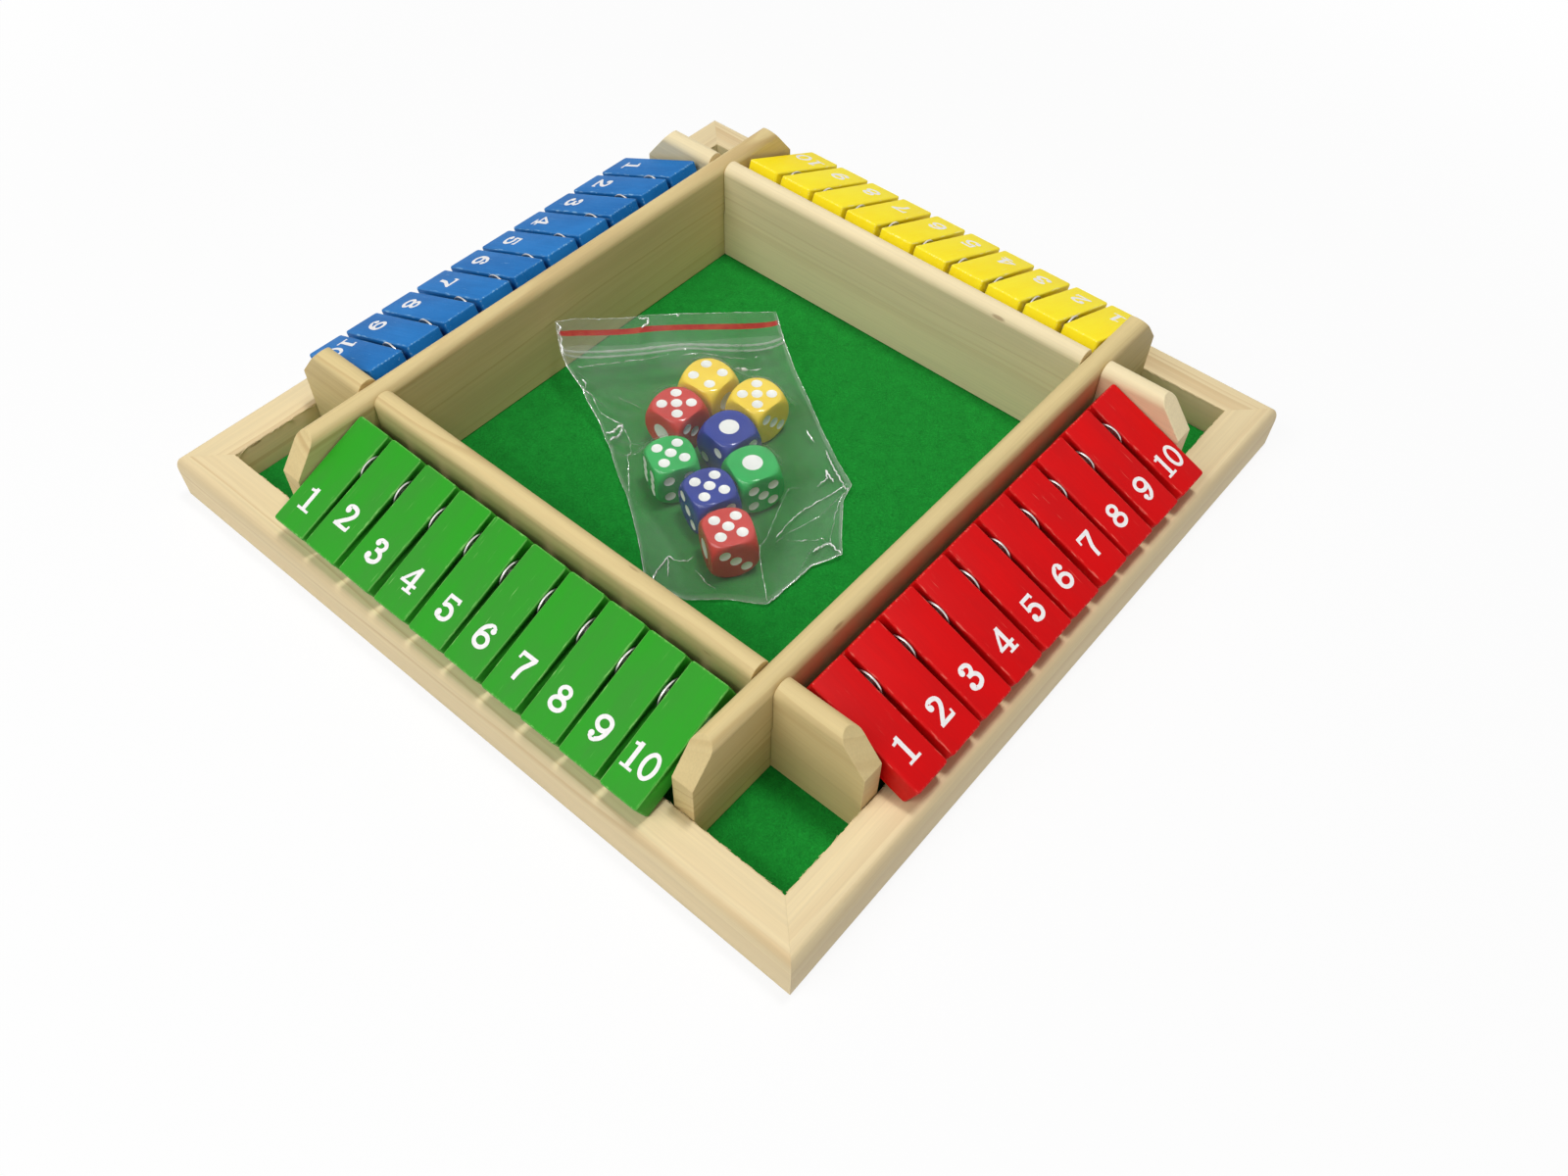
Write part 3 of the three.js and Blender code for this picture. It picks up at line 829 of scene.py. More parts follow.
def line(width, *points):
    """The outline of a brush stroke of one width along a smooth line through the points."""
    if len(points) > 2:
        ends = (2 * np.array(points[0]) - points[1], 2 * np.array(points[-1]) - points[-2])
        knots = np.array([ends[0], *points, ends[1]])
        stretches = zip(knots, knots[1:], knots[2:], knots[3:])
        points = [*(p for stretch in stretches for p in curve(*stretch)), points[-1]]
    points = np.array(points, float)
    along = np.gradient(points, axis=0)
    along /= np.linalg.norm(along, axis=1)[:, None]
    side = np.column_stack([-along[:, 1], along[:, 0]]) * BRUSH * width / 2
    return [*(points + side), *(points - side)[::-1]], None


def ring(width, middle, half):
    """The outer and the inner outline of an oval stroke."""
    angles = np.linspace(0, 2 * math.pi, 41)[:-1]
    circle = np.column_stack([np.cos(angles), np.sin(angles)])
    edges = (BRUSH * width / 2, -BRUSH * width / 2)
    return [np.array(middle) + circle * (np.array(half) + edge) for edge in edges]


def dot(radius, middle):
    return ring(0, middle, (radius, radius))[0], None


print("strokes:", line.__name__, ring.__name__, dot.__name__)

# %% [markdown]
# The table gives the strokes of each digit on a grid where the digit is 1 high: lines with a width
# and the points they pass through, closed rings with their middle and two half sizes, and round
# dots. The 3 and the 5 end in the same hook.

# %% Draw the digits
LOWER_HOOK = [line(0.13, (0.34, 0.07), (0.17, 0.115), (0.09, 0.23)), dot(0.115, (0.175, 0.245))]
DIGITS = {
    1: [
        line(0.2, (0.37, 0.02), (0.37, 0.98)), line(0.13, (0.4, 0.93), (0.27, 0.85), (0.12, 0.825)),
        line(0.125, (0.1, 0.06), (0.64, 0.06)),
    ],
    2: [
        dot(0.115, (0.195, 0.715)), line(0.12, (0.12, 0.73), (0.15, 0.86), (0.27, 0.935)),
        line(
            0.2, (0.25, 0.9), (0.4, 0.905), (0.55, 0.84), (0.595, 0.69), (0.5, 0.5), (0.3, 0.29),
            (0.12, 0.1),
        ),
        line(0.17, (0.03, 0.085), (0.66, 0.085)), line(0.1, (0.665, 0.03), (0.69, 0.27)),
    ],
    3: [
        dot(0.11, (0.2, 0.775)), line(0.13, (0.14, 0.82), (0.24, 0.92), (0.36, 0.935)),
        line(
            0.19, (0.31, 0.915), (0.48, 0.895), (0.575, 0.775), (0.52, 0.63), (0.4, 0.56),
            (0.27, 0.55),
        ),
        line(0.2, (0.3, 0.55), (0.5, 0.52), (0.625, 0.38), (0.59, 0.19), (0.4, 0.09), (0.26, 0.1)),
        *LOWER_HOOK,
    ],
    4: [
        line(0.2, (0.51, 0.02), (0.51, 0.98)), line(0.14, (0.5, 0.93), (0.28, 0.62), (0.08, 0.3)),
        line(0.14, (0.02, 0.305), (0.74, 0.305)), line(0.115, (0.3, 0.055), (0.72, 0.055)),
    ],
    5: [
        line(0.17, (0.14, 0.91), (0.62, 0.91)), line(0.11, (0.61, 0.98), (0.635, 0.78)),
        line(0.115, (0.18, 0.92), (0.15, 0.5)),
        line(
            0.19, (0.15, 0.535), (0.34, 0.605), (0.53, 0.54), (0.62, 0.36), (0.56, 0.17),
            (0.4, 0.09), (0.26, 0.1),
        ),
        *LOWER_HOOK,
    ],
    6: [
        ring(0.19, (0.375, 0.325), (0.255, 0.23)),
        line(0.19, (0.12, 0.34), (0.14, 0.57), (0.22, 0.77), (0.37, 0.9)),
        line(0.14, (0.33, 0.905), (0.47, 0.935), (0.6, 0.85)), dot(0.105, (0.56, 0.785)),
    ],
    7: [
        line(0.18, (0.06, 0.91), (0.7, 0.91)), line(0.11, (0.09, 0.98), (0.06, 0.7)),
        line(0.2, (0.62, 0.88), (0.5, 0.66), (0.37, 0.4), (0.33, 0.02)),
    ],
    8: [ring(0.18, (0.37, 0.735), (0.2, 0.175)), ring(0.19, (0.37, 0.305), (0.26, 0.21))],
    10: [
        line(0.2, (0.25, 0.02), (0.25, 0.98)),
        line(0.13, (0.27, 0.935), (0.18, 0.87), (0.03, 0.845)),
        line(0.12, (0.0, 0.06), (0.48, 0.06)), ring(0.18, (0.88, 0.5), (0.235, 0.41)),
    ],
}
print("digits drawn:", sorted(DIGITS))

# %% [markdown]
# The outlines become plates that stand 0.04 mm proud of the tile, as a printed layer does. The 9
# is the 6 turned half round. The white ink is slightly chalky and thins out in small specks.

# %% Print the numerals
NUMERAL_HEIGHT, NUMERAL_FOOT, INK = 9.2 * MM, 7.4 * MM, 0.04 * MM
# How far a numeral is printed from its place, in mm: by chance, and one by much more.
PRINT_OFF, MISPRINTED = 0.3, {("green", 2): (-0.2, 3.2)}


def chalky_ink(name):
    material, n = new_material(name)
    own = n.own()
    cloud, grit = n.noise(own, 700.0, 3.0), n.noise(own, 3000.0)
    thin = n.most(n.ranged(cloud, 0.45, 0.75, 0.0, 0.6), n.ranged(grit, 0.66, 0.72, 0.0, 0.7))
    n.dress({
        "Base Color": n.mixed(thin, rgb(239, 236, 235), rgb(218, 216, 215)),
        "Roughness": n.ranged(cloud, 0.3, 0.7, 0.42, 0.6),
        "Normal": n.bump(grit, 0.4, 0.00003),
    })
    return material


white_ink = chalky_ink("white_ink")


def plate(outer, inner, scale):
    """A thin plate between an outer outline and, if there is one, an inner one."""
    outlines = [outer] if inner is None else [outer, inner]
    count = len(outer)
    levels = [(outline, z) for outline in outlines for z in (0, 2 * INK)]
    vertices = [(x * scale, y * scale, z) for outline, z in levels for x, y in outline]
    if inner is None:
        faces = [tuple(range(count)), tuple(range(count, 2 * count)), *around(count)]
    else:
        loops = [(a * count, b * count) for a, b in ((0, 1), (1, 3), (3, 2), (2, 0))]
        steps = [(i, (i + 1) % count) for i in range(count)]
        faces = [(a + i, a + j, b + j, b + i) for a, b in loops for i, j in steps]
    return object_from("plate", vertices, faces, white_ink)


def numeral_mesh(number):
    strokes = DIGITS[6 if number == 9 else number]
    plates = [plate(outer, inner, NUMERAL_HEIGHT) for outer, inner in strokes]
    whole = cut(plates[0], plates[1:], "UNION")
    mesh = whole.data
    if number == 9:
        mesh.transform(spin(180, "Z"))
    across, up = ([v.co[axis] for v in mesh.vertices] for axis in (0, 1))
    mesh.transform(move(-(min(across) + max(across)) / 2, -min(up), -INK))
    mesh.name = f"numeral_{number:02d}"
    bpy.data.objects.remove(whole)
    return mesh


for number in range(1, 11):
    mesh = numeral_mesh(number)
    for color in ROWS:
        numeral = placed(f"numeral_{color}_{number:02d}", mesh)
        off = chance.uniform(-PRINT_OFF, PRINT_OFF, 2)
        off = (off + MISPRINTED.get((color, number), (0, 0))) * MM
        numeral.parent = tiles[color, number]
        numeral.location = (off[0], -TILE.y / 2 + NUMERAL_FOOT + off[1], TILE.z / 2)
print("numerals:", 10 * len(ROWS))

# %% [markdown]
# ## Rods and washers
# Each row of tiles turns on a steel rod, and between every two tiles hangs a zinc-plated washer a
# little wider than the tile is thick, so a bright sliver of it stands out above the paint. Both
# are turned shapes: a profile drawn once and spun about the rod's axis. The hole in a washer is
# wider than the rod, so each washer hangs a little low and leans a little, which keeps the row
# from looking drawn. Zinc is a metal, so all its colour is reflection. Fine turning marks run
# round the axis.

# %% Turn the rods and washers
ROD_END, ROD_RADIUS, ROD_TIP = 87.7 * MM, 2.5 * MM, 0.4 * MM
WASHER_RADIUS, WASHER_HOLE = 5.9 * MM, 3.1 * MM
WASHER_HALF, WASHER_RIM = 0.3 * MM, 0.1 * MM
WASHER_LEAN, WASHER_SLIDE, WASHER_DROP = 1.2, 0.12, (0.1, 0.55)


def zinc_finish():
    material, n = new_material("zinc")
    own = n.own()
    cloud = n.noise(own, 350.0, 4.0)
    marks = n.noise(n.vector("MULTIPLY", own, (4200, 160, 160)), 1.0)
    n.dress({
        "Base Color": n.mixed(n.ranged(cloud, 0.35, 0.65), rgb(222, 218, 214), rgb(182, 178, 174)),
        "Metallic": 1.0,
        "Roughness": n.ranged(cloud, 0.3, 0.7, 0.26, 0.4),
        "Normal": n.bump(marks, 0.4, 0.00004),
    })
    return material


def both_halves(profile):
    return profile + [(radius, -along) for radius, along in reversed(profile)]


zinc = zinc_finish()
rod_half = [(0, -ROD_END), (ROD_RADIUS - ROD_TIP, -ROD_END), (ROD_RADIUS, -ROD_END + ROD_TIP)]
washer_half = [
    (WASHER_HOLE, 0), (WASHER_HOLE, -WASHER_HALF + WASHER_RIM),
    (WASHER_HOLE + WASHER_RIM, -WASHER_HALF), (WASHER_RADIUS - WASHER_RIM, -WASHER_HALF),
    (WASHER_RADIUS, -WASHER_HALF + WASHER_RIM),
]
rod_master = turned("rod", both_halves(rod_half), zinc, 40)
washer_master = turned("washer", both_halves(washer_half), zinc, 64)

for color, (quarter, _) in ROWS.items():
    row = spin(quarter, "Z") @ move(0, -PIVOT_AT, PIVOT_TOP)
    rod = placed(f"pivot_rod_{color}", rod_master.data, row)
    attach(rod, "tray")
    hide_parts(f"rod_{color}")
    for gap in range(1, 10):
        lean = [chance.uniform(-WASHER_LEAN, WASHER_LEAN) for _ in range(2)]
        slid = (slid_by(color, gap) + slid_by(color, gap + 1)) / 2
        along = (gap - 5) * PITCH + (slid + chance.uniform(-WASHER_SLIDE, WASHER_SLIDE)) * MM
        place = row @ move(along, 0, -chance.uniform(*WASHER_DROP) * MM)
        place = place @ Matrix.Rotation(chance.uniform(0, 2 * math.pi), 4, "X")
        place = place @ spin(lean[0], "Y") @ spin(lean[1], "Z")
        washer = placed(f"washer_{color}_{gap}", washer_master.data, place)
        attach(washer, "tray")
for master in (rod_master, washer_master):
    bpy.data.objects.remove(master)
print("rods:", len(ROWS), "washers:", 9 * len(ROWS))

# %% [markdown]
# ## Dice
# The dice are moulded of glossy plastic in four colours. The plastic is an even colour that is a
# little deeper in places, and its gloss is rubbed duller in patches. White paint fills the pips,
# and it is duller than the plastic. The four plastics and the paint are one finish in other
# colours, so one helper mixes them all.

# %% Mix the dice plastics
def plastic(name, color, deep, roughness=0.12):
    material, n = new_material(name)
    own = n.own()
    cloud, rub = n.noise(own, 120.0, 3.0), n.noise(own, 900.0, 5.0, 0.7)
    n.dress({
        "Base Color": n.mixed(n.ranged(cloud, 0.3, 0.7), rgb(*color), rgb(*deep)),
        "Roughness": n.ranged(rub, 0.45, 0.8, roughness, roughness + 0.22),
        "Normal": n.bump(cloud, 0.25, 0.00006),
        "IOR": 1.49,
    })
    return material


dice_plastics = {
    "red": plastic("red_plastic", (210, 54, 44), (194, 46, 38)),
    "blue": plastic("blue_plastic", (30, 56, 154), (24, 46, 138)),
    "green": plastic("green_plastic", (26, 180, 84), (20, 164, 74)),
    "yellow": plastic("yellow_plastic", (252, 222, 70), (245, 208, 56)),
}
pip_paint = plastic("pip_paint", (244, 244, 240), (232, 234, 230), 0.3)
print("plastics:", list(dice_plastics), "and", pip_paint.name)

# %% [markdown]
# A moulded die is a cube whose corners a ball has rounded: the top of each face is nearly a
# circle. The shape is the overlap of a cube and a sphere, with a soft turn between the two. So a
# fine cube grid is blown outward, and each of its points goes to where its ray meets the nearer of
# the two. A high power in the blend keeps the turn narrow.
# The pips are shallow spoon-shaped hollows. They are cut with flat balls, and the faces that the
# balls leave take the pip paint. The single pip of the one is much wider.

# %% Mould the dice
DIE_SIDE, DIE_BALL, DIE_CELLS, DIE_POWER = 17 * MM, 24.2 * MM, 40, 22
PIP_APART, PIP_WIDE, ONE_WIDE, PIP_DEEP = 7.6 * MM, 4.1 * MM, 7.2 * MM, 0.45 * MM
CORNER_PIPS = [(-1, -1), (-1, 1), (1, -1), (1, 1)]
PIP_PLACES = {
    1: [(0, 0)], 2: [(-1, -1), (1, 1)], 3: [(-1, 1), (0, 0), (1, -1)], 4: CORNER_PIPS,
    5: [(-1, -1), (-1, 1), (0, 0), (1, -1), (1, 1)],
    6: [(-1, -1), (-1, 0), (-1, 1), (1, -1), (1, 0), (1, 1)],
}
FACE_TURNS = {
    1: spin(0, "X"), 6: spin(180, "X"), 2: spin(90, "X"), 5: spin(-90, "X"),
    3: spin(90, "Y"), 4: spin(-90, "Y"),
}


def cube_grid(cells):
    """The points and faces of a cube whose sides are divided into cells, without doubled points."""
    index, points, faces = {}, [], []

    def corner(point):
        key = tuple(round(value * cells) for value in point)
        if key not in index:
            index[key] = len(points)
            points.append(point)
        return index[key]

    steps = [2 * i / cells - 1 for i in range(cells + 1)]
    sides = [(axis, side) for axis in range(3) for side in (-1, 1)]
    for axis, side in sides:
        for i, j in np.ndindex(cells, cells):
            quad = []
            for a, b in ((i, j), (i + 1, j), (i + 1, j + 1), (i, j + 1)):
                point = [steps[a], steps[b]]
                point.insert(axis, side)
                quad.append(corner(tuple(point)))
            faces.append(tuple(quad))
    return np.array(points, float), faces


def pip_cutter(value, x, y):
    """A ball that cuts one pip, in its place on the face with this value."""
    wide = ONE_WIDE if value == 1 else PIP_WIDE
    ball = (wide**2 / 4 + PIP_DEEP**2) / (2 * PIP_DEEP)
    bends = np.linspace(0, math.pi, 49)[1:-1]
    profile = [(ball * math.sin(a), -ball * math.cos(a)) for a in bends]
    cutter = turned("pip", [(0, -ball), *profile, (0, ball)], pip_paint, 48)
    above = move(x * PIP_APART / 2, y * PIP_APART / 2, DIE_SIDE / 2 - PIP_DEEP + ball)
    cutter.data.transform(FACE_TURNS[value] @ above @ spin(-90, "Y"))
    return cutter


def moulded_die():
    points, faces = cube_grid(DIE_CELLS)
    # Equal angles rather than equal lengths keep the cells the same size on the ball.
    rays = np.tan(points * math.pi / 4)
    rays /= np.linalg.norm(rays, axis=1)[:, None]
    to_cube, to_ball = DIE_SIDE / 2 / np.abs(rays).max(axis=1), DIE_BALL / 2
    distance = (to_cube**-DIE_POWER + to_ball**-DIE_POWER) ** (-1 / DIE_POWER)
    body = object_from("die", rays * distance[:, None], faces, dice_plastics["red"], 60)
    pips = [pip_cutter(value, x, y) for value in FACE_TURNS for x, y in PIP_PLACES[value]]
    body.data.materials.append(pip_paint)
    return cut(body, pips)


die_master = moulded_die()
print("die:", len(die_master.data.polygons), "faces")

# %% [markdown]
# The eight dice lie in two loose rows in the bag, turned as they happened to fall. Each takes a
# copy of the one moulded mesh with its own plastic. The turn about Z comes after the turn that
# brings the right face up: five, four or one.

# %% Lay out the dice
# For each die: its place in mm, its turn in degrees and the value on top.
DICE = {
    "red_a": (27.9, -39.2, -31.2, 5), "red_b": (-24.5, -8.2, 0, 5),
    "blue_a": (11.1, -29.9, -112, 5), "blue_b": (-2.5, -4.6, -8, 1),
    "green_a": (-9.3, -27.4, 153, 5), "green_b": (15.0, -12.1, -112, 1),
    "yellow_a": (-26.3, 10.5, 3.4, 4), "yellow_b": (-6.0, 14.5, -3, 5),
}
DIE_MIDDLE = 14.9 * MM
BRING_UP = {1: spin(0, "X"), 5: spin(90, "X"), 4: spin(90, "Y")}
for name, (x, y, about_z, top) in DICE.items():
    color = name.split("_")[0]
    mesh = die_master.data.copy()
    mesh.materials[0] = dice_plastics[color]
    place = move(x * MM, y * MM, DIE_MIDDLE) @ spin(about_z, "Z") @ BRING_UP[top]
    die = placed(f"moulded_die_{name}", mesh, place)
    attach(die, "dice_bag")
    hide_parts(f"die_{name}")
bpy.data.objects.remove(die_master)
print("dice:", len(DICE))

# %% [markdown]
# ## Bag
# The dice are in a clear zip bag, 85 by 116 mm flat. Two films are sealed at the sides and the
# bottom. The lower one lies on the felt. The upper one hangs over the dice like a tent, with
# straight folds between them, and is the part that catches the light. The mouth leans up on the
# left board.
# The edges of the bag keep their place on the felt, which is read from the photograph.

# %% Set out the bag's edges
BAG_WIDE, BAG_LONG, BAG_FLOOR = 85 * MM, 116 * MM, 5.9 * MM
EDGE_LEFT = [
    (-81.7, -12.0, 24.6), (-78.4, -14.6, 21.8), (-73.4, -18.0, 18.8), (-68.6, -20.0, 15.8),
    (-60.7, -20.9, 11.0), (-55.8, -22.9, 8.0), (-49.0, -24.6, 4.5), (-42.6, -28.0, 2.0),
    (-39.2, -29.3, 1.0), (-27.7, -36.7, 0.6), (-17.3, -42.4, 0.6), (-9.6, -47.6, 0.6),
    (0.7, -55.1, 0.5), (11.8, -63.9, 0.4),
]
EDGE_RIGHT = [
    (-30.2, 53.7, 17.0), (-21.0, 47.7, 12.0), (-10.2, 41.8, 7.0), (0.4, 36.8, 3.2),
    (14.6, 28.4, 1.0), (28.2, 20.3, 0.8), (39.3, 14.3, 1.6), (41.5, 6.5, 1.2),
    (50.4, -5.6, 0.8), (56.8, -13.3, 1.6),
]
EDGE_BOTTOM = [
    (11.8, -63.9, 0.4), (15.9, -64.5, 0.5), (29.0, -62.0, 0.6), (34.9, -56.6, 0.4),
    (40.2, -51.9, 0.4), (50.9, -45.6, 0.3), (51.0, -36.4, 0.7), (51.6, -29.3, 1.2),
    (51.4, -23.2, 0.9), (56.8, -13.0, 1.6),
]
MOUTH_LIFT = [(0, 0), (7.5, 1.4), (16, 0.6), (30, 0.5), (35, 1.4), (46, 1.2), (62, 0.9), (85, 0)]
COLUMNS, ROWS_LONG = 69, 93


def spaced(edge, count):
    """Points at equal distances along an edge, in metres above the felt."""
    edge = np.array(edge) * MM
    runs = np.r_[0, np.cumsum(np.linalg.norm(np.diff(edge, axis=0), axis=1))]
    at = np.linspace(0, runs[-1], count)
    points = np.column_stack([np.interp(at, runs, edge[:, axis]) for axis in range(3)])
    return points + [0, 0, BAG_FLOOR]


def between(share, first, second):
    return (1 - share) * first + share * second


left_edge, right_edge = spaced(EDGE_LEFT, ROWS_LONG), spaced(EDGE_RIGHT, ROWS_LONG)
bottom_edge = spaced(EDGE_BOTTOM, COLUMNS)
mouth_edge = spaced([EDGE_LEFT[0], EDGE_RIGHT[0]], COLUMNS)
lift_at, lift = np.array(MOUTH_LIFT).T * MM
mouth_edge[:, 2] += np.interp(np.linspace(0, BAG_WIDE, COLUMNS), lift_at, lift)
along = np.linspace(0, 1, ROWS_LONG)[:, None, None]
wide = np.linspace(0, 1, COLUMNS)[None, :, None]
between_sides = between(wide, left_edge[:, None], right_edge[:, None])
between_ends = between(along, mouth_edge[None], bottom_edge[None])
mouth_line = between(wide, mouth_edge[0], mouth_edge[-1])
bottom_line = between(wide, bottom_edge[0], bottom_edge[-1])
bag_outline = between_sides + between_ends - between(along, mouth_line, bottom_line)
for edge in (left_edge, right_edge, bottom_edge, mouth_edge):
    print("bag side:", round(float(np.linalg.norm(np.diff(edge, axis=0), axis=1).sum()), 4))

# %% [markdown]
# A film can't be modelled by a formula: it keeps its lengths and gives way everywhere else. So the
# upper film is let down on the dice by a small cloth solver. It is a grid of points, and in every
# step the points sink a little, then each pair of neighbours is pushed back to its length in the
# flat film, and then points inside a die are lifted out. After some hundred steps, what is left is
# a film that has kept its lengths, with its folds where the spare film had to go.

# %% Let the upper film down on the dice
CLEAR, SINK, STIFF = 0.45 * MM, 0.02 * MM, 0.45
SETTLE_STEPS = 900
HEAP_RISE, UNEVEN = 26 * MM, 0.5 * MM


def dice_height(x, y):
    """How high the dice, with a little clearance, stand at each point of the plan."""
    height = np.full(x.shape, BAG_FLOOR)
    side, ball = DIE_SIDE / 2 + CLEAR, DIE_BALL / 2 + CLEAR
    for at_x, at_y, about_z, _ in DICE.values():
        turn = math.radians(about_z)
        u = (x - at_x * MM) * math.cos(turn) + (y - at_y * MM) * math.sin(turn)
        v = (y - at_y * MM) * math.cos(turn) - (x - at_x * MM) * math.sin(turn)
        over = np.sqrt(np.maximum(ball**2 - u**2 - v**2, 0))
        inside = (np.abs(u) < side) & (np.abs(v) < side) & (over > 0)
        top = DIE_MIDDLE + np.minimum(side, over)
        height = np.where(inside, np.maximum(height, top), height)
    return height


def neighbours():
    """The pairs of points that keep their distance, with its length and their stiffness."""
    cell_wide, cell_long = BAG_WIDE / (COLUMNS - 1), BAG_LONG / (ROWS_LONG - 1)
    slant = math.hypot(cell_wide, cell_long)
    for rows, columns, length, stiff in (
        (0, 1, cell_wide, 1.0), (1, 0, cell_long, 1.0), (1, 1, slant, 0.5), (1, -1, slant, 0.5),
        (0, 3, 3 * cell_wide, 0.12), (3, 0, 3 * cell_long, 0.12),
    ):
        high, across = ROWS_LONG - rows, COLUMNS - abs(columns)
        start = max(0, -columns)
        first = (slice(0, high), slice(start, start + across))
        second = (slice(rows, rows + high), slice(start + columns, start + columns + across))
        yield first, second, length, stiff


def settled(film):
    """Lets a film down on the dice. Its outer points keep their place."""
    film, pairs = film.copy(), list(neighbours())
    held = np.ones(film.shape)
    held[0] = held[-1] = held[:, 0] = held[:, -1] = 0
    inner = film[1:-1, 1:-1, 2]
    inner += np.random.default_rng(3).normal(0, UNEVEN, inner.shape)
    for step in range(SETTLE_STEPS):
        film[..., 2] -= SINK * held[..., 2]
        for first, second, length, stiff in pairs:
            gap = film[second] - film[first]
            now = np.linalg.norm(gap, axis=2, keepdims=True)
            push = gap * (1 - length / np.maximum(now, 1e-9)) * STIFF * stiff
            film[first] += push * held[first]
            film[second] -= push * held[second]
        film[..., 2] = np.maximum(film[..., 2], dice_height(film[..., 0], film[..., 1]))
    return film


heap = bag_outline.copy()
bulge = np.sin(math.pi * along[..., 0]) * np.sin(math.pi * wide[..., 0])
heaped = heap[..., 2] + HEAP_RISE * bulge**0.6
heap[..., 2] = np.maximum(heaped, dice_height(heap[..., 0], heap[..., 1]))
upper_film = settled(heap)
print("upper film settled, highest point", round(float(upper_film[..., 2].max()), 4))

# %% [markdown]
# The finish of the film has three parts. Most of the light goes straight through. Some is spread
# by a faint milky haze, which makes the felt under the bag look paler. And some is mirrored, the
# more the flatter the eye looks along the film, and that draws the bright lines where a fold turns
# away. This is Fresnel's rule, here made from Layer Weight, because the Fresnel node takes the
# back of a film for the inside of a solid and mirrors everything there. A crumpled pattern of fine
# facets breaks the mirror image of the lamps into glints.

# %% Make the film's finish
def clear_film(name, haze):
    material, n = new_material(name, bare=True)
    own = n.own()
    warp = n.noise(own, 60.0, output="Color")
    bent = n.vector("MULTIPLY_ADD", warp, (0.012, 0.012, 0.012), own)
    cells = {"Vector": bent, "Scale": 90.0}
    facets = n.add("TexVoronoi", cells, feature="F1").outputs["Distance"]
    height = n.plus(facets, n.times(n.noise(bent, 260.0, 3.0), 0.35))
    bump = n.bump(height, 0.25, 0.0012)
    pale = (0.85, 0.86, 0.84, 1)
    through = n.shader("BsdfTransparent", {"Color": (0.96, 0.965, 0.96, 1)})
    milky_haze_and_painted_glint = n.shader("BsdfTranslucent", {"Color": pale})
    white = n.shader("BsdfDiffuse", {"Color": pale, "Normal": bump})
    amount = n.ranged(n.noise(bent, 45.0, 3.0), 0.3, 0.7, haze * 0.7, haze * 1.3)
    body = n.blend(amount, through, n.blend(0.6, milky_haze_and_painted_glint, white))
    mirror = n.shader("BsdfGlossy", {"Color": WHITE, "Roughness": 0.3, "Normal": bump})
    away = n.add("LayerWeight", {"Blend": 0.5, "Normal": bump}).outputs["Facing"]
    edge_on = n.math("MULTIPLY_ADD", n.math("POWER", away, 4.0), 0.45, 0.0015)
    n.show(n.blend(edge_on, body, mirror))
    return material


film_finish = clear_film("clear_film", 0.07)
print("finish:", film_finish.name)

# %% [markdown]
# ## Folds
# A thin film doesn't bend evenly. It stays nearly flat and gathers its bending in sharp folds, and
# each fold draws a thin bright line, because somewhere on its tight curve it faces a lamp. A grid
# of points this coarse can't hold such a curve. So each fold is made twice: the film is lifted
# into a low ridge along it, and a hair-thin tube lies on the ridge. The tube is glossy, and partly
# painted white as a glint, and catches the light.
# The table gives the folds in the flat bag's own measures, in millimetres from its left edge and
# from its mouth: the height of the ridge, the thickness of the line, and the points it runs
# through.

# %% List the folds
BRIGHT_FOLDS = [
    (0.8, 0.55, [(1.0, 47.6), (5.0, 45.2), (8.5, 42.9)]),
    (0.6, 0.5, [(8.5, 42.9), (7.2, 45.6), (4.4, 48.8), (1.2, 51.4)]),
    (0.9, 0.3, [(4.6, 115.3), (7.0, 109.0), (10.0, 103.1), (13.0, 104.0)]),
    (0.4, 0.3, [(13.0, 104.0), (17.9, 104.5), (21.4, 103.9)]),
    (0.3, 0.25, [(10.0, 103.9), (10.5, 110.3)]),
    (0.0, 0.35, [(48.7, 115.9), (85.0, 115.9)]),
    (0.9, 0.45, [(84.6, 115.4), (80.1, 108.2), (76.4, 109.0), (73.1, 110.3)]),
    (0.7, 0.25, [(58.6, 98.7), (70.5, 88.9), (83.8, 81.8)]),
    (0.7, 0.4, [(84.7, 85.7), (83.2, 82.4), (82.6, 76.0), (82.8, 63.2)]),
    (0.3, 0.3, [(78.5, 53.8), (80.4, 58.8)]),
    (0.6, 0.3, [(75.2, 80.0), (79.3, 76.5), (79.9, 72.0), (80.6, 79.1)]),
    (0.3, 0.9, [(61.4, 22.6), (64.5, 21.9), (67.5, 21.2)]),
    (0.3, 0.4, [(67.5, 21.2), (70.0, 20.9), (73.1, 19.9)]),
    (0.2, 0.7, [(44.6, 13.2), (45.4, 12.8)]),
    (0.2, 0.55, [(72.2, 15.2), (73.3, 14.9)]),
    (0.5, 0.45, [(3.0, 22.9), (4.2, 24.2), (3.1, 26.2)]),
    (0.2, 0.6, [(15.8, 0.3), (16.8, 0.3)]),
    (0.4, 0.6, [(31.0, 0.4), (34.6, 1.2), (34.2, 2.6), (31.4, 3.9)]),
    (0.2, 0.7, [(45.8, 0.4), (46.9, 0.5)]),
    (0.3, 0.5, [(0.5, 0.6), (1.8, 2.4), (0.7, 4.4), (1.5, 7.2), (0.6, 9.4), (0.9, 12.6)]),
    (0.0, 0.18, [(0.1, 14.0), (0.1, 44.0)]),
]
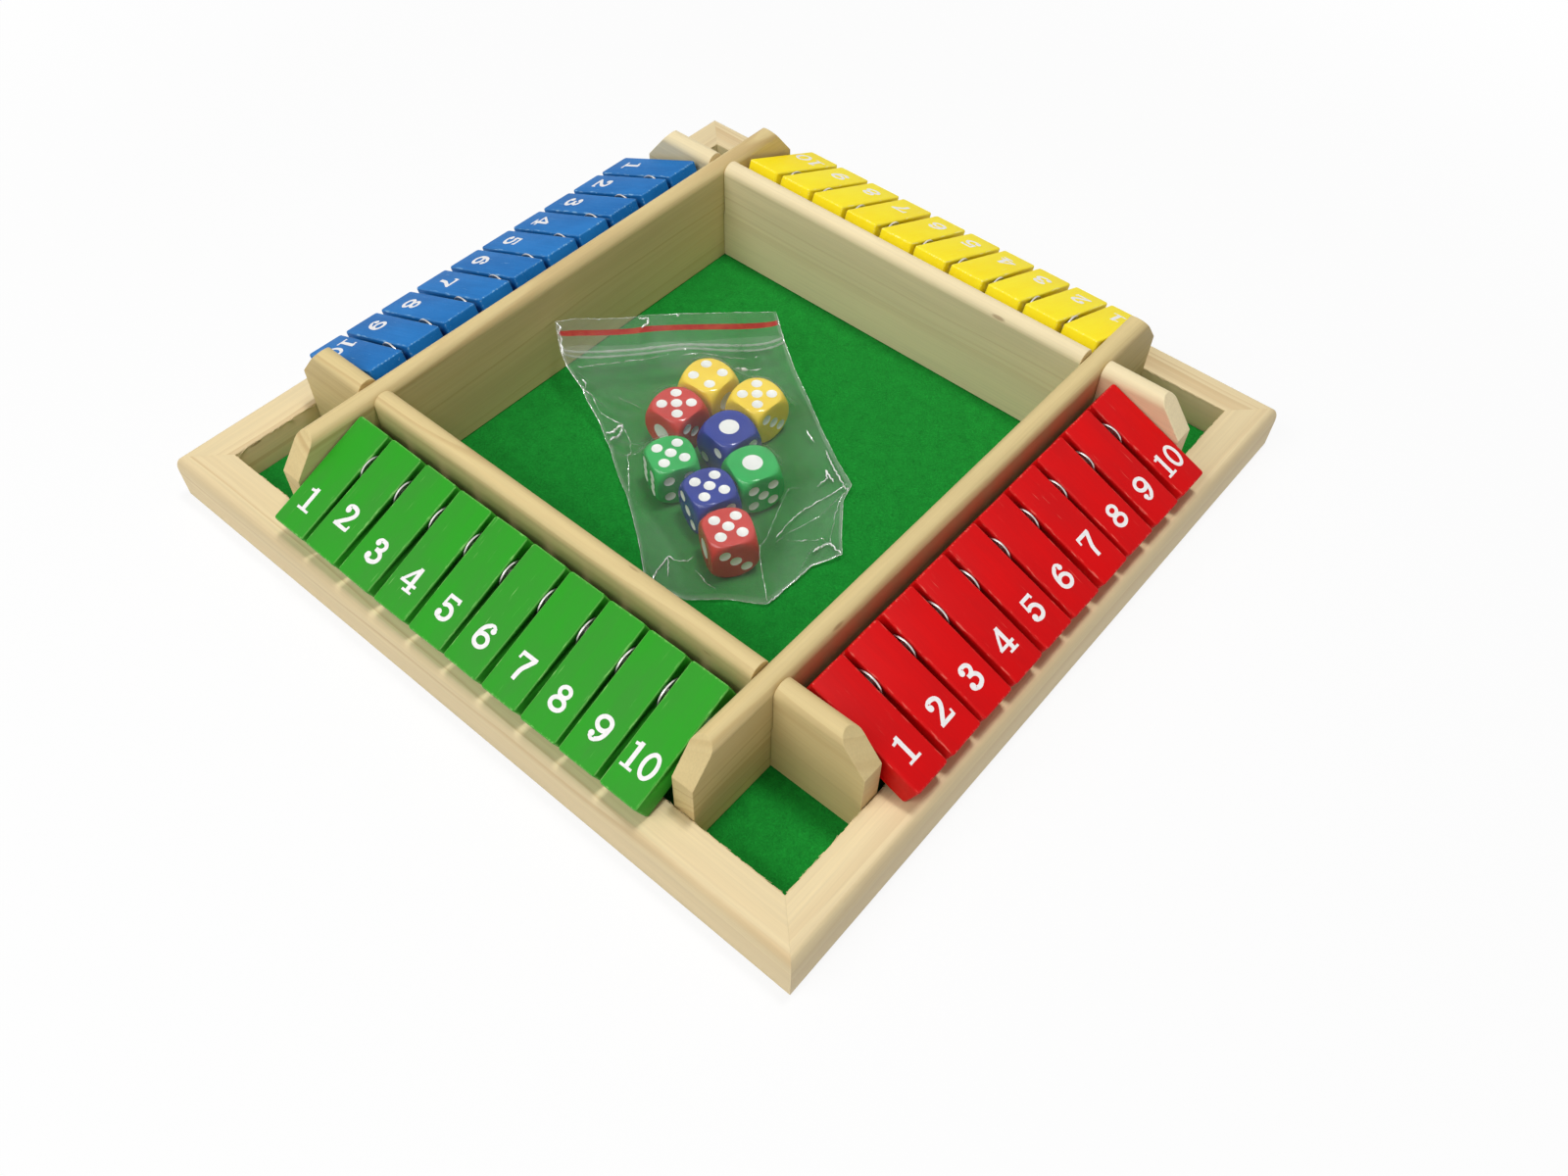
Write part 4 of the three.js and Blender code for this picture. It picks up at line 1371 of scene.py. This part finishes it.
FAINT_FOLDS = [
    (0.0, 0.18, [(0.0, 0.1), (85.0, 0.1)]),
    (0.0, 0.2, [(0.1, 0.0), (0.1, 116.0)]),
    (0.0, 0.22, [(84.9, 0.0), (84.9, 116.0)]),
    (0.0, 0.18, [(0.0, 115.9), (85.0, 115.9)]),
    (0.7, 0.3, [(2.4, 25.5), (2.7, 37.0), (8.1, 42.8), (9.6, 56.1), (5.2, 67.9), (0.9, 77.1)]),
    (0.9, 0.25, [(80.1, 108.2), (81.7, 99.1), (84.4, 86.2)]),
    (0.9, 0.25, [(48.8, 115.5), (47.1, 103.9), (53.5, 99.2)]),
    (0.8, 0.2, [(53.5, 99.2), (63.2, 82.7), (69.2, 80.8)]),
    (0.3, 0.3, [(4.0, 16.6), (14.0, 15.2), (26.0, 15.0), (38.0, 14.6)]),
    (0.3, 0.25, [(42.0, 16.2), (56.0, 15.4), (70.0, 16.0)]),
    (0.5, 0.2, [(58.0, 100.4), (66.0, 96.5), (76.0, 93.4)]),
    (0.5, 0.2, [(22.0, 108.0), (27.0, 112.4), (30.0, 114.0)]),
    (0.4, 0.2, [(14.0, 29.0), (20.0, 42.0)]),
    (0.5, 0.2, [(63.0, 99.0), (75.0, 104.0), (80.1, 108.2)]),
]
print("folds:", len(BRIGHT_FOLDS), "bright and", len(FAINT_FOLDS), "faint")

# %% [markdown]
# To lift the film along a fold, each point of the grid needs its distance to the fold in the flat
# bag. The ridge is highest on the fold and dies away within a few millimetres. Where two ridges
# meet, the higher one counts.

# %% Fold the upper film
RIDGE_WIDE = 2.2


def walk(points, step=0.7):
    """Points at about equal steps along a line of straight stretches."""
    points = np.array(points, float)
    runs = np.r_[0, np.cumsum(np.linalg.norm(np.diff(points, axis=0), axis=1))]
    at = np.linspace(0, runs[-1], max(4, round(runs[-1] / step)))
    return np.column_stack([np.interp(at, runs, points[:, axis]) for axis in range(2)])


def on_film(film, flat):
    """The places on the film of points that are given in the flat bag's millimetres."""
    across = np.clip(flat[:, 0] * MM / BAG_WIDE, 0, 1) * (COLUMNS - 1)
    down = np.clip(flat[:, 1] * MM / BAG_LONG, 0, 1) * (ROWS_LONG - 1)
    i = np.minimum(down.astype(int), ROWS_LONG - 2)
    j = np.minimum(across.astype(int), COLUMNS - 2)
    s, t = (down - i)[:, None], (across - j)[:, None]
    near = film[i, j] * (1 - t) + film[i, j + 1] * t
    far = film[i + 1, j] * (1 - t) + film[i + 1, j + 1] * t
    return near * (1 - s) + far * s


columns_at, rows_at = np.linspace(0, 85, COLUMNS), np.linspace(0, 116, ROWS_LONG)
flat_across, flat_down = (grid[..., None] for grid in np.meshgrid(columns_at, rows_at))
rise = np.zeros((ROWS_LONG, COLUMNS))
for height, _, points in BRIGHT_FOLDS + FAINT_FOLDS:
    if height > 0:
        track = walk(points)
        away = np.min(np.hypot(flat_across - track[:, 0], flat_down - track[:, 1]), axis=2)
        rise = np.maximum(rise, height * MM * np.exp(-away / RIDGE_WIDE))
upper_film[..., 2] += rise
highest = round(float(upper_film[..., 2].max()), 4)
print("folded film, highest point", highest)

# %% [markdown]
# The lines are thin tubes, all joined in one mesh for the bright folds and one for the faint ones.
# Their glints are partly painted. A fold doesn't shine all along: it twists out of the light and
# back. So a noise paints where their gloss is, and between the bright bits the tube is as clear as
# the film. Where a tube shines, a share of white diffuse is mixed into the gloss. That share is a
# painted glint that looks white from every side.

# %% Draw the lines of light on the folds
def fold_gloss(name, low, high, milky_haze_and_painted_glint):
    material, n = new_material(name, bare=True)
    own = n.own()
    grain = n.noise(own, 1800.0)
    bump, rough = n.bump(grain, 0.3, 0.00008), n.ranged(grain, 0.3, 0.7, 0.05, 0.25)
    through = n.shader("BsdfTransparent", {"Color": WHITE})
    shine = n.shader("BsdfGlossy", {"Color": WHITE, "Roughness": rough, "Normal": bump})
    # The white diffuse is a painted glint, mixed into the gloss by its share. The noise share below
    # paints where along the fold the glints fall.
    white = n.shader("BsdfDiffuse", {"Color": (0.95, 0.95, 0.94, 1), "Normal": bump})
    share = n.ranged(n.noise(own, 260.0, 3.0), 0.4, 0.54, low, high, smooth=True)
    n.show(n.blend(share, through, n.blend(milky_haze_and_painted_glint, shine, white)))
    return material


LINE_ABOVE, STRIPE_ABOVE = 0.05 * MM, 0.06 * MM


def line_on_film(thick, points, wander):
    flat = walk(points)
    steady = 0.3 if len(flat) > 60 else 1
    flat[1:-1] += chance.uniform(-wander, wander, (len(flat) - 2, 2)) * steady
    path = on_film(upper_film, flat) + [0, 0, LINE_ABOVE]
    swell = np.array([0.75 + 0.5 * field.noise(Vector(p) * 500) for p in path])
    from_end = np.minimum(np.arange(len(flat)), np.arange(len(flat))[::-1])
    return tube(path, thick * MM * swell * np.minimum(1, from_end / 2 + 0.25))


def lines_on_film(name, folds, material, wander=0.25):
    tubes = [line_on_film(thick, points, wander) for _, thick, points in folds]
    piece = bundle(name, tubes, material)
    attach(piece, "dice_bag")
    return piece


# The last value is the share of painted white glint in the gloss of the lines.
bright = lines_on_film("bag_bright_folds", BRIGHT_FOLDS, fold_gloss("bright_fold", 0.3, 1.0, 0.6))
faint = lines_on_film("bag_faint_folds", FAINT_FOLDS, fold_gloss("faint_fold", 0.06, 0.34, 0.2))
print("lines:", bright.name, len(bright.data.polygons), faint.name, len(faint.data.polygons))

# %% [markdown]
# ## Films
# The two films are the same grid of squares, laid once over the dice and once on the felt. Where
# they are welded, along the sides and the bottom, and where the zip runs, the plastic is thicker
# and milkier, so the squares there take a second finish.

# %% Lay the films
ZIP_AT = (10.7, 12.6)
WELD_REACH, FULL_LIFT, RIPPLE = 5 * MM, 12 * MM, 0.15
welded_film = clear_film("welded_film", 0.16)


def squares(rows, columns):
    """The faces of a grid of points."""
    corners = [i * columns + j for i in range(rows - 1) for j in range(columns - 1)]
    return [(k, k + columns, k + columns + 1, k + 1) for k in corners]


def film_piece(name, grid):
    rows, columns = grid.shape[:2]
    piece = object_from(name, grid.reshape(-1, 3), squares(rows, columns), film_finish, 180)
    piece.data.materials.append(welded_film)
    for face in piece.data.polygons:
        row, column = divmod(face.index, columns - 1)
        down = (row + 0.5) * BAG_LONG / (rows - 1)
        in_zip = ZIP_AT[0] * MM < down < ZIP_AT[1] * MM
        if column in (0, columns - 2) or row == rows - 2 or in_zip:
            face.material_index = 1
    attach(piece, "dice_bag")
    return piece


upper = film_piece("bag_upper_film", upper_film)
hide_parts("dice_bag")
columns_in = np.minimum(np.arange(COLUMNS), np.arange(COLUMNS)[::-1]) * BAG_WIDE / (COLUMNS - 1)
rows_in = np.arange(ROWS_LONG)[::-1] * BAG_LONG / (ROWS_LONG - 1)
inward = np.minimum(columns_in[None, :], rows_in[:, None])
mouth_lift = np.maximum(bag_outline[..., 2] - BAG_FLOOR, 0)
follow = np.maximum(np.exp(-inward / WELD_REACH), np.clip(mouth_lift / FULL_LIFT, 0, 1))
ripple = np.array([[field.noise(Vector(p) * 120) for p in row] for row in bag_outline])
ripple = ripple * RIPPLE * MM
lower_film = bag_outline.copy()
lower_film[..., 2] = BAG_FLOOR + ripple + mouth_lift * follow
for edge in ((slice(None), 0), (slice(None), -1), -1, 0):
    lower_film[edge] = upper_film[edge]
lower = film_piece("bag_lower_film", lower_film)
print("films:", upper.name, lower.name)

# %% [markdown]
# ## Zip and stripe
# The zip shows as two round beads across the bag. They are drawn like the folds, as thin tubes on
# the upper film. A red stripe is printed between the zip and the mouth, to show which way the bag
# opens. It is a narrow strip of squares that lies just above the film and follows it.

# %% Add the zip's beads and the red stripe
BEAD_THICK, STRIPE_DOWN, STRIPE_STEPS = 0.55, (3.5, 4.1, 4.7, 5.3), 120
zip_lines = [(0, BEAD_THICK, [(0.2, at), (84.8, at)]) for at in ZIP_AT]
beads = lines_on_film("bag_zip", zip_lines, clear_film("zip_plastic", 0.3), 0.05)


def stripe_finish():
    material, n = new_material("stripe_ink")
    cloud = n.noise(n.own(), 300.0, 4.0)
    n.dress({
        "Base Color": n.mixed(n.ranged(cloud, 0.4, 0.68), rgb(176, 22, 0), rgb(186, 56, 12)),
        "Roughness": n.ranged(cloud, 0.3, 0.7, 0.25, 0.5),
        "Normal": n.bump(cloud, 0.4, 0.0002),
        "Specular IOR Level": 0.03,
    })
    return material


stripe_points = []
for down in STRIPE_DOWN:
    flat = np.column_stack([np.linspace(0.6, 84.4, STRIPE_STEPS), np.full(STRIPE_STEPS, down)])
    stripe_points += list(on_film(upper_film, flat) + [0, 0, STRIPE_ABOVE])
stripe_faces = squares(len(STRIPE_DOWN), STRIPE_STEPS)
stripe = object_from("bag_red_stripe", stripe_points, stripe_faces, stripe_finish(), 180)
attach(stripe, "dice_bag")
print("zip and stripe:", beads.name, stripe.name)
